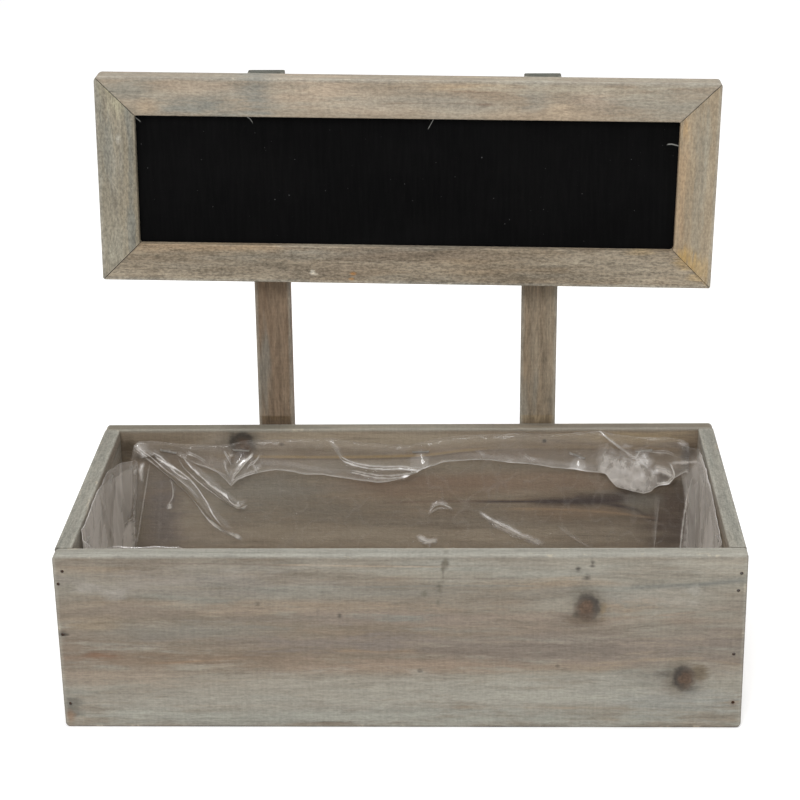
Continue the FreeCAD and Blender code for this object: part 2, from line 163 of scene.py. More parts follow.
def make_washed_pine():
    """Sawn pine under a thin grey wash. Place runs along, across and through the board."""
    tree, given, result = shader_group(
        "washed pine",
        [
            ("Place", "vector", (0, 0, 0)),
            ("Bent Place", "vector", (0, 0, 0)),
            ("Pith", "vector", (0, 0.05, -0.04)),
            ("Ring Width", "number", 0.005),
            ("Waviness", "number", 0.012),
            ("Seed", "number", 0.0),
            ("Heart", "colour", (0.2, 0.158, 0.12, 1)),
            ("Wash", "colour", (0.36, 0.34, 0.285, 1)),
            ("Warm", "colour", (0.37, 0.275, 0.19, 1)),
            ("Cool", "colour", (0.24, 0.245, 0.225, 1)),
            ("Wash Share", "number", 0.5),
            ("Warm Share", "number", 0.4),
            ("Cool Share", "number", 0.4),
            ("Ring Strength", "number", 0.3),
            ("Fibre Strength", "number", 0.35),
            ("Grit Strength", "number", 0.3),
        ],
        [("Colour", "colour"), ("Grain", "number"), ("Relief", "number"), ("Roughness", "number")],
    )
    shift = added(tree, "ShaderNodeCombineXYZ", {0: given["Seed"], 1: given["Seed"]}).outputs[0]
    place = vector(tree, "ADD", given["Place"], shift)
    flow = vector(tree, "ADD", given["Bent Place"], shift)
    wander = number(tree, "SUBTRACT", speckle(tree, place, (3.5, 16, 16), 1.0, 2.0), 0.5)
    sway = number(tree, "MULTIPLY", wander, given["Waviness"])
    from_pith = vector(tree, "SUBTRACT", given["Bent Place"], given["Pith"])
    from_pith = vector(tree, "MULTIPLY", from_pith, (0, 1, 1))
    radius = number(tree, "ADD", vector(tree, "LENGTH", from_pith), sway)
    phase = number(tree, "FRACT", number(tree, "DIVIDE", radius, given["Ring Width"]))
    rise = number(tree, "POWER", phase, 2.5)
    fall = ramp(tree, phase, 0.86, 1.0, 1.0, 0.0)
    patch = ramp(tree, speckle(tree, place, (5, 30, 30), 7.3), 0.36, 0.62, 0.1, 1.0)
    late = number(tree, "MULTIPLY", number(tree, "MULTIPLY", rise, fall), patch)

    cloud = ramp(tree, speckle(tree, flow, (5, 34, 34), 2.0, 4.0, 0.6), 0.36, 0.64)
    bloom = ramp(tree, speckle(tree, flow, (22, 90, 90), 3.1, 4.0, 0.65), 0.34, 0.66)
    warmth = ramp(tree, speckle(tree, flow, (6, 60, 60), 11.7, 3.0), 0.5, 0.68)
    cold = ramp(tree, speckle(tree, flow, (9, 75, 75), 19.3, 3.0), 0.5, 0.68)
    fine = ramp(tree, speckle(tree, place, (110, 850, 850), 5.0, 3.0, 0.6), 0.34, 0.66, -1.0, 1.0)
    broad = ramp(tree, speckle(tree, flow, (22, 260, 260), 8.0, 3.0), 0.36, 0.64, -1.0, 1.0)
    grit = ramp(tree, speckle(tree, place, (420, 900, 900), 2.0, 2.0, 0.7), 0.32, 0.68, -1.0, 1.0)
    saw_marks = ramp(tree, speckle(tree, place, (750, 70, 70), 6.0, 2.0), 0.36, 0.64, -1.0, 1.0)
    reeds = ramp(tree, speckle(tree, flow, (13, 420, 420), 14.0, 2.0), 0.64, 0.78)
    flecks = ramp(tree, speckle(tree, place, (190, 760, 760), 16.0, 2.0), 0.66, 0.78)

    lean = summed(tree, (cloud, 0.6), (bloom, 0.4))
    more_wash = number(tree, "SUBTRACT", given["Wash Share"], 0.5)
    washed = number(tree, "ADD", lean, more_wash, clamp=True)
    colour = blended(tree, washed, given["Heart"], given["Wash"])
    warmed = number(tree, "MULTIPLY", warmth, given["Warm Share"])
    colour = blended(tree, warmed, colour, given["Warm"])
    cooled = number(tree, "MULTIPLY", cold, given["Cool Share"])
    colour = blended(tree, cooled, colour, given["Cool"])

    fibre = summed(tree, (fine, 0.55), (broad, 0.45))
    light = number(tree, "MULTIPLY_ADD", fibre, given["Fibre Strength"], 1.0)
    light = number(tree, "MULTIPLY_ADD", grit, given["Grit Strength"], light)
    ring_dark = number(tree, "MULTIPLY", late, given["Ring Strength"])
    light = number(tree, "SUBTRACT", light, ring_dark)
    light = summed(tree, (light, 1.0), (saw_marks, 0.03), (reeds, -0.15), (flecks, 0.16))
    tree.links.new(number(tree, "MAXIMUM", light, 0.15), result.inputs["Grain"])
    tree.links.new(colour, result.inputs["Colour"])
    relief = summed(tree, (fibre, 0.5), (late, 0.4), (grit, 0.5), (saw_marks, 0.15), (reeds, -0.6))
    tree.links.new(relief, result.inputs["Relief"])
    dry = number(tree, "MULTIPLY_ADD", washed, 0.12, 0.74)
    tree.links.new(dry, result.inputs["Roughness"])
    return tree


def make_knot():
    """A knot: its dark heart, its rim, a halo, and a Place in which the grain bends round it."""
    tree, given, result = shader_group(
        "knot",
        [
            ("Place", "vector", (0, 0, 0)),
            ("Centre", "vector", (0, 0, 0)),
            ("Radius", "number", 0.006),
            ("Dark Way", "vector", (-0.5, 0.87, 0)),
            ("Bend", "number", 0.55),
        ],
        [
            ("Core", "number"),
            ("Rim", "number"),
            ("Halo", "number"),
            ("Rings", "number"),
            ("Dark Side", "number"),
            ("Bent Place", "vector"),
        ],
    )
    away = vector(tree, "SUBTRACT", given["Place"], given["Centre"])
    flat = vector(tree, "MULTIPLY", away, (1.0, 0.85, 0))
    ragged = number(tree, "SUBTRACT", speckle(tree, given["Place"], (240, 240, 0), 4.0), 0.5)
    reach = number(tree, "DIVIDE", vector(tree, "LENGTH", flat), given["Radius"])
    reach = number(tree, "MULTIPLY_ADD", ragged, 0.6, reach)
    core = ramp(tree, reach, 0.35, 1.2, 1.0, 0.0)
    rim = number(tree, "MULTIPLY", ramp(tree, reach, 0.3, 0.8), ramp(tree, reach, 0.75, 1.3, 1.0, 0.0))
    halo = ramp(tree, reach, 0.8, 2.3, 1.0, 0.0)
    rings = number(tree, "SINE", number(tree, "MULTIPLY", reach, 19.0))
    side = number(tree, "DIVIDE", vector(tree, "DOT_PRODUCT", flat, given["Dark Way"]), given["Radius"])
    squeezed = vector(tree, "LENGTH", vector(tree, "MULTIPLY", away, (0.42, 1, 0)))
    near = ramp(tree, number(tree, "DIVIDE", squeezed, given["Radius"]), 0.4, 3.6, 1.0, 0.0)
    pull = number(tree, "MULTIPLY", near, given["Bend"])
    step = vector(tree, "SCALE", vector(tree, "MULTIPLY", away, (0, 1, 0)), pull)
    bent = vector(tree, "SUBTRACT", given["Place"], step)
    found = {
        "Core": core,
        "Rim": rim,
        "Halo": halo,
        "Rings": rings,
        "Dark Side": ramp(tree, side, -0.8, 0.8),
        "Bent Place": bent,
    }
    for name, value in found.items():
        tree.links.new(value, result.inputs[name])
    return tree


def make_stain():
    """A soft-edged patch, as large along and across the board as its Size says."""
    tree, given, result = shader_group(
        "stain",
        [
            ("Place", "vector", (0, 0, 0)),
            ("Centre", "vector", (0, 0, 0)),
            ("Size", "vector", (0.01, 0.005, 1)),
            ("Ragged", "number", 0.0),
        ],
        [("Mask", "number")],
    )
    away = vector(tree, "DIVIDE", vector(tree, "SUBTRACT", given["Place"], given["Centre"]), given["Size"])
    reach = number(tree, "ADD", vector(tree, "LENGTH", away), given["Ragged"])
    tree.links.new(ramp(tree, reach, 0.1, 1.6, 1.0, 0.0), result.inputs["Mask"])
    return tree


def make_worn_arris():
    """Where a box-like piece is near one of its long arrises, and where it is end grain."""
    tree, given, result = shader_group(
        "worn arris",
        [
            ("Place", "vector", (0, 0, 0)),
            ("Middle", "vector", (0, 0, 0)),
            ("Half Size", "vector", (0.1, 0.1, 0.1)),
            ("Width", "number", 0.0028),
        ],
        [("Mask", "number"), ("Chips", "number"), ("End Grain", "number")],
    )
    off = vector(tree, "ABSOLUTE", vector(tree, "SUBTRACT", given["Place"], given["Middle"]))
    depth = split(tree, vector(tree, "SUBTRACT", given["Half Size"], off))
    pairs = [number(tree, "MAXIMUM", depth[a], depth[b]) for a, b in ((0, 1), (1, 2), (0, 2))]
    nearest = number(tree, "MINIMUM", number(tree, "MINIMUM", pairs[0], pairs[1]), pairs[2])
    rough = speckle(tree, given["Place"], (60, 300, 300), 9.0)
    width = number(tree, "MULTIPLY", given["Width"], number(tree, "ADD", rough, 0.5))
    share = number(tree, "DIVIDE", nearest, width)
    mask = ramp(tree, share, 0.25, 1.0, 1.0, 0.0)
    tree.links.new(mask, result.inputs["Mask"])
    torn = ramp(tree, speckle(tree, given["Place"], (75, 140, 140), 3.3, 4.0, 0.7), 0.6, 0.66)
    tree.links.new(number(tree, "MULTIPLY", mask, torn), result.inputs["Chips"])
    tree.links.new(ramp(tree, depth[0], 0.0002, 0.0011, 1.0, 0.0), result.inputs["End Grain"])
    return tree


washed_pine = make_washed_pine()
knot_group = make_knot()
stain_group = make_stain()
worn_arris = make_worn_arris()


def drawn_line(tree, along, across, ragged, line, half_width):
    """A mask along a drawn line of (along, across) points on the board, in metres."""
    start, end = line[0][0], line[-1][0]
    low = min(point[1] for point in line)
    not_quite_flat = 1e-6
    height = max(point[1] for point in line) - low + not_quite_flat
    span = {"Value": along, "From Min": start, "From Max": end}
    share = added(tree, "ShaderNodeMapRange", span).outputs[0]
    node = added(tree, "ShaderNodeFloatCurve", {"Value": share})
    curve = node.mapping.curves[0]
    curve.points[0].location = (0, (line[0][1] - low) / height)
    curve.points[1].location = (1, (line[-1][1] - low) / height)
    for x, y in line[1:-1]:
        curve.points.new((x - start) / (end - start), (y - low) / height)
    node.mapping.update()
    centre = number(tree, "MULTIPLY_ADD", node.outputs[0], height, low)
    gap = number(tree, "ABSOLUTE", number(tree, "SUBTRACT", across, centre))
    reach = number(tree, "MULTIPLY_ADD", gap, 1 / half_width, ragged)
    mask = ramp(tree, reach, 0.0, 1.8, 1.0, 0.0)
    ends = number(tree, "MULTIPLY", ramp(tree, share, 0.0, 0.2), ramp(tree, share, 0.8, 1.0, 1.0, 0.0))
    return number(tree, "MULTIPLY", mask, ends)


right_through = 1000
knot_shade = (0.15, 0.13, 0.1, 1)
knot_heart = (0.105, 0.066, 0.044)
knot_bark = (0.05, 0.045, 0.04, 1)
worn_wood = (0.39, 0.375, 0.325, 1)
chipped_wood = (0.5, 0.44, 0.34, 1)
end_grain = (0.13, 0.115, 0.09, 1)


def middle_and_half(name):
    """A node's middle and half its size, from its box."""
    low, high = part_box(name)
    return [(a + b) / 2 for a, b in zip(low, high)], [(b - a) / 2 for a, b in zip(low, high)]


def finish_node(name, material):
    """Gives a CAD node its finish."""
    for slot in nodes[name].material_slots:
        slot.material = material


def tinted(tree, colour, mask, strength, tint):
    """A colour with a tint laid over it where the mask is."""
    return blended(tree, number(tree, "MULTIPLY", mask, strength), colour, tint)


def knotted(tree, place, knot, colour):
    """A colour with a knot laid over it: its shade, its cracked heart and its dark bark."""
    shade = number(tree, "MULTIPLY_ADD", knot["Dark Side"], 0.55, 0.15)
    colour = tinted(tree, colour, knot["Halo"], shade, knot_shade)
    checked = speckle(tree, place, (420, 420, 0), 11.0)
    ringed = summed(tree, (knot["Rings"], 0.13), (checked, 1.3), (1.0, 0.35))
    heart = vector(tree, "SCALE", knot_heart, ringed)
    colour = tinted(tree, colour, knot["Core"], 0.9, heart)
    bark = number(tree, "MULTIPLY_ADD", knot["Dark Side"], 0.65, 0.18)
    return tinted(tree, colour, knot["Rim"], bark, knot_bark)


def finish_wood(name, run, seed, look, knots=(), stains=(), lines=(), box=None, turn=0.0, torn=5.0):
    """Gives a wooden node a finish of its own. Run gives the axes along, across and through it."""
    material, tree, shader = new_material(name.replace("_", " ") + " wood")
    middle, half_size = box or middle_and_half(name)
    place = on_the_piece(tree)
    if turn:
        turning = {"Vector": place, "Center": middle, "Angle": turn}
        place = added(tree, "ShaderNodeVectorRotate", turning, rotation_type="Y_AXIS").outputs[0]
    axes = split(tree, place)
    order = ["XYZ".index(axis) for axis in run]
    along, across, through = (axes[i] for i in order)
    place = added(tree, "ShaderNodeCombineXYZ", {0: along, 1: across, 2: through}).outputs[0]
    middle = [middle[i] for i in order]
    half_size = [half_size[i] for i in order]

    bent = place
    rounds = []
    for x, y, radius, dark_way in knots:
        way = (math.cos(math.radians(dark_way)), math.sin(math.radians(dark_way)), 0)
        knot = grouped(tree, knot_group, Place=bent, Centre=(x, y, 0), Radius=radius, Dark_Way=way)
        bent = knot["Bent Place"]
        rounds.append(knot)
    pine = grouped(tree, washed_pine, Place=place, Bent_Place=bent, Seed=seed, **look)
    colour = pine["Colour"]

    if stains or lines:
        ragged = speckle(tree, bent, (26, 190, 190), seed, 5.0, 0.7)
        ragged = number(tree, "MULTIPLY_ADD", ragged, torn, -torn / 2)
    if lines:
        frayed = number(tree, "MULTIPLY", ragged, 0.4)
    for line, half_width, tint, strength in lines:
        mask = drawn_line(tree, along, across, frayed, line, half_width)
        colour = tinted(tree, colour, mask, strength, (*tint, 1))
    for x, y, length, width, tint, strength in stains:
        patch = dict(Centre=(x, y, 0), Size=(length, width, right_through))
        mask = grouped(tree, stain_group, Place=place, Ragged=ragged, **patch)["Mask"]
        colour = tinted(tree, colour, mask, strength, (*tint, 1))
    for knot in rounds:
        colour = knotted(tree, place, knot, colour)

    edges = grouped(tree, worn_arris, Place=place, Middle=middle, Half_Size=half_size)
    off_the_ground = ramp(tree, axes[2], 0.001, 0.003, 0.0, 0.4)
    colour = tinted(tree, colour, edges["Mask"], off_the_ground, worn_wood)
    colour = tinted(tree, colour, edges["Chips"], 0.6, chipped_wood)
    colour = tinted(tree, colour, edges["End Grain"], 0.45, end_grain)
    tree.links.new(vector(tree, "SCALE", colour, pine["Grain"]), shader.inputs["Base Color"])
    tree.links.new(pine["Roughness"], shader.inputs["Roughness"])
    emboss(tree, shader, pine["Relief"], 0.7, 0.00012)
    shader.inputs["Specular IOR Level"].default_value = 0.25
    finish_node(name, material)


# Each row holds places along and across the board, in metres. A knot: its middle, its radius and
# which way its dark side lies, in degrees. A line: its points, half width, colour and strength.
# A stain: its middle, half length, half width, colour and strength.
front_knots = ((0.1081, 0.0793, 0.0074, 50), (0.1663, 0.033, 0.0068, 165))
umber = (0.19, 0.157, 0.127)
tan = (0.31, 0.245, 0.18)
rust = (0.2, 0.12, 0.078)
lilac = (0.21, 0.178, 0.152)
slate = (0.222, 0.215, 0.186)
pale = (0.35, 0.335, 0.285)
bloom = (0.325, 0.32, 0.28)
near_black = (0.06, 0.052, 0.045)
olive = (0.15, 0.135, 0.105)
front_lines = (
    (((-0.4, 0.1133), (0.0, 0.1133), (0.4, 0.1133)), 0.0016, bloom, 0.8),
    (((-0.23, 0.0775), (-0.15, 0.0735), (-0.1, 0.071), (-0.05, 0.0695), (0.06, 0.067)), 0.0022, umber, 0.6),
    (((-0.12, 0.0708), (-0.08, 0.0708), (-0.05, 0.07), (0.0, 0.069)), 0.0008, (0.15, 0.12, 0.095), 0.6),
    (((-0.095, 0.069), (-0.06, 0.0645), (-0.02, 0.0622), (0.03, 0.0615), (0.12, 0.068)), 0.0014, tan, 0.8),
    (
        (
            (-0.2, 0.043), (-0.17, 0.0428), (-0.14, 0.0432), (-0.1, 0.0462), (-0.07, 0.049),
            (-0.03, 0.051), (0.1, 0.0445),
        ),
        0.0015, (0.27, 0.185, 0.12), 0.95,
    ),
    (((-0.13, 0.0452), (-0.1, 0.0474), (-0.075, 0.0498), (-0.05, 0.0515)), 0.0005, (0.17, 0.12, 0.085), 0.7),
    (((-0.205, 0.046), (-0.18, 0.0478), (-0.155, 0.0496)), 0.0022, rust, 0.7),
    (
        ((-0.186, 0.0496), (-0.178, 0.0507), (-0.17, 0.0508), (-0.163, 0.0497)),
        0.0007, (0.15, 0.1, 0.07), 0.8,
    ),
    (((-0.19, 0.0125), (-0.1, 0.0145), (0.0, 0.0145), (0.08, 0.0135), (0.17, 0.0125)), 0.0009, tan, 0.8),
    (((-0.175, 0.055), (-0.12, 0.0535), (-0.1, 0.0555), (-0.06, 0.0585)), 0.0005, (0.15, 0.13, 0.115), 0.75),
    (((0.12, 0.0925), (0.165, 0.0935), (0.185, 0.0955), (0.22, 0.0995)), 0.0018, (0.17, 0.175, 0.16), 0.7),
    (((0.13, 0.0182), (0.175, 0.0182), (0.22, 0.0215)), 0.0008, (0.19, 0.195, 0.18), 0.9),
    # A dark line along the very bottom edge.
    (((-0.4, 0.0002), (0.0, 0.0003), (0.4, 0.0001)), 0.0007, near_black, 0.9),
    (((-0.22, 0.1085), (-0.1, 0.1075), (0.0, 0.106), (0.12, 0.1085)), 0.0006, umber, 0.8),
    (((-0.08, 0.1072), (-0.03, 0.1062), (0.04, 0.1052)), 0.0005, (0.38, 0.31, 0.23), 0.8),
    (((-0.08, 0.094), (-0.02, 0.0925), (0.03, 0.0935), (0.1, 0.092)), 0.0006, slate, 0.7),
    (((-0.02, 0.0995), (0.03, 0.098), (0.08, 0.0985)), 0.0006, umber, 0.6),
    (
        ((-0.16, 0.0035), (-0.12, 0.0055), (-0.08, 0.0062), (-0.03, 0.0055), (0.02, 0.0042)),
        0.0004, near_black, 0.5,
    ),
    (((-0.12, 0.0025), (-0.06, 0.0038), (0.0, 0.0032), (0.06, 0.0022)), 0.0004, near_black, 0.45),
    (((0.05, 0.024), (0.1, 0.0235), (0.15, 0.024), (0.19, 0.023)), 0.0007, (0.38, 0.37, 0.325), 0.6),
    (((-0.16, 0.0235), (-0.1, 0.025), (0.0, 0.0245), (0.06, 0.0235)), 0.0006, (0.4, 0.38, 0.33), 0.5),
)
front_stains = (
    (0.0, 0.058, 0.3, 0.024, (0.23, 0.188, 0.148), 0.6),
    (-0.12, 0.056, 0.09, 0.017, (0.2, 0.165, 0.128), 0.7),
    (-0.045, 0.056, 0.12, 0.025, (0.21, 0.162, 0.112), 0.5),
    (-0.187, 0.0925, 0.02, 0.005, (0.19, 0.175, 0.14), 0.7),
    (0.02, 0.0435, 0.05, 0.008, (0.235, 0.18, 0.13), 0.5),
    (0.185, 0.106, 0.03, 0.01, (0.36, 0.335, 0.28), 0.5),
    (-0.16, 0.0775, 0.05, 0.005, (0.21, 0.18, 0.14), 0.5),
    (-0.05, 0.014, 0.17, 0.016, (0.345, 0.328, 0.28), 0.75),
    (0.12, 0.017, 0.1, 0.014, (0.3, 0.285, 0.243), 0.6),
    (-0.19, 0.05, 0.02, 0.012, (0.21, 0.165, 0.125), 0.6),
    (-0.14, 0.0455, 0.07, 0.004, (0.19, 0.14, 0.1), 0.7),
    (-0.17, 0.093, 0.04, 0.006, (0.25, 0.228, 0.185), 0.6),
    (-0.1, 0.071, 0.08, 0.005, (0.205, 0.172, 0.13), 0.7),
    (0.1, 0.0525, 0.11, 0.009, lilac, 0.75),
    (0.06, 0.0515, 0.08, 0.005, umber, 0.6),
    (0.0, 0.0405, 0.08, 0.0045, (0.285, 0.22, 0.165), 0.8),
    (-0.03, 0.0785, 0.13, 0.0045, tan, 0.7),
    (0.06, 0.073, 0.1, 0.005, (0.28, 0.225, 0.175), 0.8),
    (-0.02, 0.073, 0.09, 0.004, lilac, 0.5),
    (-0.115, 0.0635, 0.05, 0.0055, slate, 0.6),
    (-0.045, 0.0565, 0.07, 0.0045, lilac, 0.8),
    (-0.03, 0.0885, 0.1, 0.004, slate, 0.5),
    (-0.13, 0.096, 0.08, 0.006, (0.27, 0.24, 0.205), 0.7),
    (0.08, 0.1035, 0.11, 0.0065, pale, 0.45),
    (0.15, 0.086, 0.04, 0.006, (0.34, 0.31, 0.26), 0.6),
    (0.05, 0.0245, 0.15, 0.009, pale, 0.75),
    (-0.08, 0.0265, 0.09, 0.007, (0.3, 0.27, 0.22), 0.6),
    (-0.165, 0.0335, 0.035, 0.0075, (0.29, 0.235, 0.18), 0.7),
    (-0.02, 0.0065, 0.19, 0.0045, (0.33, 0.325, 0.28), 0.75),
    (-0.15, 0.0775, 0.05, 0.0035, umber, 0.6),
    (-0.18, 0.069, 0.014, 0.0035, (0.29, 0.23, 0.16), 0.6),
    (0.101, 0.074, 0.013, 0.009, umber, 0.55),
    (0.16, 0.0285, 0.013, 0.01, umber, 0.55),
    (0.132, 0.0775, 0.022, 0.0045, tan, 0.8),
    (0.1175, 0.0775, 0.002, 0.004, (0.3, 0.215, 0.12), 0.8),
    (0.1055, 0.0712, 0.009, 0.0032, (0.17, 0.13, 0.095), 0.9),
    (0.1025, 0.0765, 0.0028, 0.0028, (0.07, 0.065, 0.05), 0.9),
    (0.159, 0.0355, 0.0085, 0.0022, (0.09, 0.08, 0.07), 0.85),
    (0.1745, 0.0365, 0.0042, 0.005, (0.15, 0.115, 0.075), 0.85),
    (0.169, 0.0262, 0.006, 0.0028, (0.13, 0.125, 0.11), 0.75),
    (0.165, 0.0165, 0.035, 0.0065, (0.3, 0.3, 0.27), 0.6),
    (-0.179, 0.048, 0.01, 0.003, rust, 0.8),
    (-0.195, 0.0135, 0.0065, 0.0065, (0.13, 0.12, 0.1), 0.8),
    (-0.197, 0.0065, 0.003, 0.005, (0.24, 0.155, 0.1), 0.7),
    (-0.18, 0.092, 0.009, 0.004, (0.37, 0.34, 0.3), 0.5),
    (-0.165, 0.0885, 0.006, 0.004, (0.37, 0.34, 0.3), 0.45),
    (0.17, 0.089, 0.004, 0.006, (0.42, 0.4, 0.35), 0.5),
    (0.0272, 0.1085, 0.0016, 0.0045, olive, 1.0),
    (0.0256, 0.1015, 0.0014, 0.0055, olive, 1.0),
    (0.0236, 0.092, 0.002, 0.0045, olive, 0.95),
    (0.0226, 0.083, 0.0012, 0.003, olive, 0.9),
    (0.015, 0.088, 0.002, 0.0025, olive, 0.8),
    (0.103, 0.104, 0.0018, 0.0016, near_black, 0.9),
    (0.1113, 0.1077, 0.0017, 0.003, near_black, 0.9),
    (0.1082, 0.0985, 0.0025, 0.0015, near_black, 0.75),
    (-0.0345, 0.0742, 0.0014, 0.0012, near_black, 0.8),
    (-0.082, 0.0815, 0.0012, 0.0011, near_black, 0.5),
    (0.0115, 0.038, 0.001, 0.0008, near_black, 0.55),
    (0.092, 0.0415, 0.0012, 0.0009, near_black, 0.5),
    (-0.047, 0.0775, 0.0014, 0.0019, umber, 0.6),
    (-0.1985, 0.0617, 0.003, 0.0009, (0.03, 0.026, 0.02), 1.0),
    (-0.1971, 0.0617, 0.0024, 0.0018, near_black, 0.5),
    (0.1948, 0.0171, 0.0022, 0.0018, rust, 0.7),
)
look_front = dict(
    Pith=(0, 0.052, 0.07),
    Heart=(0.2, 0.165, 0.127, 1),
    Wash=(0.31, 0.287, 0.236, 1),
    Warm=(0.33, 0.24, 0.158, 1),
    Cool=(0.222, 0.235, 0.212, 1),
    Wash_Share=0.5,
    Warm_Share=0.5,
    Cool_Share=0.45,
    Ring_Width=0.0065,
    Ring_Strength=0.12,
    Fibre_Strength=0.14,
    Grit_Strength=0.075,
)
finish_wood("front_board", "XZY", 1.0, look_front, front_knots, front_stains, front_lines)

back_knots = ((-0.1092, 0.101, 0.0086, 100),)
bruise = (0.085, 0.066, 0.06)
back_lines = (
    (((-0.4, 0.1133), (0.0, 0.1133), (0.4, 0.1133)), 0.0012, (0.18, 0.173, 0.14), 0.85),
    (
        ((-0.14, 0.0955), (-0.05, 0.0932), (0.0, 0.094), (0.04, 0.098), (0.08, 0.1), (0.2, 0.093)),
        0.0011, (0.42, 0.29, 0.13), 0.7,
    ),
    (
        ((-0.14, 0.094), (-0.05, 0.0917), (0.0, 0.0925), (0.04, 0.0965), (0.08, 0.0985), (0.2, 0.0915)),
        0.0007, (0.15, 0.11, 0.075), 0.6,
    ),
    (((0.07, 0.05), (0.15, 0.048), (0.28, 0.048)), 0.03, (0.11, 0.08, 0.058), 0.45),
    (((0.02, 0.103), (0.12, 0.103), (0.25, 0.103)), 0.012, (0.16, 0.115, 0.08), 0.6),
    (((-0.28, 0.101), (-0.19, 0.101), (-0.12, 0.101)), 0.014, (0.15, 0.12, 0.085), 0.52),
    (((-0.03, 0.0598), (0.03, 0.061), (0.06, 0.0612), (0.1, 0.061)), 0.0009, (0.19, 0.12, 0.085), 0.5),
    (((0.035, 0.0608), (0.08, 0.0608), (0.11, 0.0612), (0.15, 0.0618)), 0.0009, bruise, 0.9),
    (((0.075, 0.0608), (0.12, 0.0608), (0.135, 0.0615), (0.165, 0.0625)), 0.0026, bruise, 0.9),
    (((0.1, 0.0625), (0.135, 0.0645), (0.15, 0.069), (0.175, 0.082)), 0.0042, bruise, 0.8),
    (((0.12, 0.0605), (0.15, 0.055), (0.165, 0.0475), (0.22, 0.045)), 0.0014, bruise, 1.0),
    (((0.05, 0.0555), (0.1, 0.055), (0.13, 0.053), (0.18, 0.045)), 0.0009, (0.38, 0.27, 0.17), 0.8),
)
back_stains = (
    (0.04, 0.075, 0.1, 0.009, (0.29, 0.205, 0.145), 0.85),
    (-0.1, 0.07, 0.05, 0.014, (0.275, 0.255, 0.215), 0.75),
    (-0.06, 0.052, 0.05, 0.01, (0.245, 0.215, 0.17), 0.7),
    (-0.01, 0.085, 0.1, 0.005, (0.3, 0.26, 0.2), 0.6),
    (0.1, 0.052, 0.04, 0.005, (0.3, 0.22, 0.15), 0.7),
    (0.03, 0.047, 0.06, 0.008, (0.25, 0.215, 0.17), 0.6),
    (-0.03, 0.036, 0.17, 0.007, (0.4, 0.335, 0.255), 0.8),
    # Dark patches at the right end: painted shade in the back right corner.
    (0.181, 0.06, 0.016, 0.016, (0.1, 0.07, 0.054), 0.85),
    (0.181, 0.038, 0.016, 0.016, (0.12, 0.09, 0.075), 0.9),
    (0.173, 0.048, 0.022, 0.034, (0.12, 0.09, 0.07), 0.6),
    (0.155, 0.0605, 0.011, 0.007, (0.225, 0.205, 0.17), 0.85),
    (0.0, 0.106, 0.15, 0.006, (0.42, 0.35, 0.26), 0.8),
    (0.15, 0.1065, 0.04, 0.004, (0.4, 0.31, 0.195), 0.8),
    (-0.115, 0.104, 0.02, 0.006, (0.3, 0.265, 0.22), 0.6),
    (0.1, 0.101, 0.05, 0.003, (0.3, 0.235, 0.17), 0.6),
    # A tall lilac-brown patch near the left end: painted shade beside the back left corner.
    (-0.165, 0.05, 0.012, 0.03, (0.17, 0.14, 0.13), 0.75),
    (-0.184, 0.101, 0.004, 0.006, (0.08, 0.06, 0.04), 0.8),
    (-0.176, 0.094, 0.008, 0.0025, (0.09, 0.07, 0.045), 0.7),
    (0.185, 0.095, 0.005, 0.007, (0.1, 0.075, 0.055), 0.8),
    (-0.0833, 0.1026, 0.0015, 0.0014, near_black, 0.5),
    (0.0898, 0.1045, 0.0016, 0.0014, near_black, 0.9),
)
# Lighter than the front board, partly as painted fill light for the shaded inside face.
look_back = dict(
    look_front,
    Pith=(0, 0.064, 0.13),
    Heart=(0.235, 0.18, 0.128, 1),
    Wash=(0.38, 0.322, 0.243, 1),
    Warm=(0.37, 0.275, 0.19, 1),
    Warm_Share=0.4,
    Cool_Share=0.15,
    Fibre_Strength=0.06,
    Grit_Strength=0.05,
)
finish_wood("back_board", "XZY", 4.0, look_back, back_knots, back_stains, back_lines, torn=2.5)


# Side boards
# Short boards of the same washed pine, set between the two long ones, which are nailed into
# their end grain. They carry the bottom planks.

for name, seed in (("left_side_board", 12.0), ("right_side_board", 17.0)):
    middle, half_size = middle_and_half(name)
    # Made lighter than the front board: painted fill light for the boards' shaded inside faces.
    look = dict(
        look_front,
        Pith=(0, 0.06, middle[0] * 1.2),
        Heart=(0.25, 0.205, 0.16, 1),
        Wash=(0.36, 0.325, 0.275, 1),
        Wash_Share=0.6,
        Fibre_Strength=0.22,
        Grit_Strength=0.14,
    )
    top_face = ((((-0.3, 0.1133), (0.0, 0.1133), (0.3, 0.1133)), 0.001, (0.25, 0.247, 0.211), 0.85),)
    finish_wood(name, "YZX", seed, look, lines=top_face)


# Bottom planks
# Three pine planks washed like the rest, with a gap between each two for water. Nails through
# the side boards hold them.

for plank, seed in (("front", 23.0), ("middle", 24.0), ("rear", 25.0)):
    name = "bottom_plank_" + plank
    middle, half_size = middle_and_half(name)
    look = dict(look_front, Pith=(0, middle[1], -0.06), Wash_Share=0.45)
    finish_wood(name, "XYZ", seed, look)


# Nails
# Dark steel nails with flat heads, set a little below the wood, spotted with rust.

def plain_metal(name, bright, dull, rough, metallic=1.0):
    """A worn metal that wanders between two colours."""
    material, tree, shader = new_material(name)
    spots = ramp(tree, speckle(tree, on_the_piece(tree), (600, 600, 600), 3.0), 0.4, 0.62)
    tree.links.new(blended(tree, spots, (*bright, 1), (*dull, 1)), shader.inputs["Base Color"])
    tree.links.new(ramp(tree, spots, 0.0, 1.0, rough, rough + 0.25), shader.inputs["Roughness"])
    emboss(tree, shader, spots, 0.4, 0.00005)
    shader.inputs["Metallic"].default_value = metallic
    return material


nail_steel = plain_metal("dark nail steel", (0.1, 0.09, 0.085), (0.07, 0.035, 0.02), 0.45)
for name in ("front_nails", "back_nails", "bottom_nails"):
    finish_node(name, nail_steel)


# Film liner
# One loose sheet of clear film, pressed down into the box, gathered at the corners, turned in
# at the top as an uneven hem and stapled through both layers.

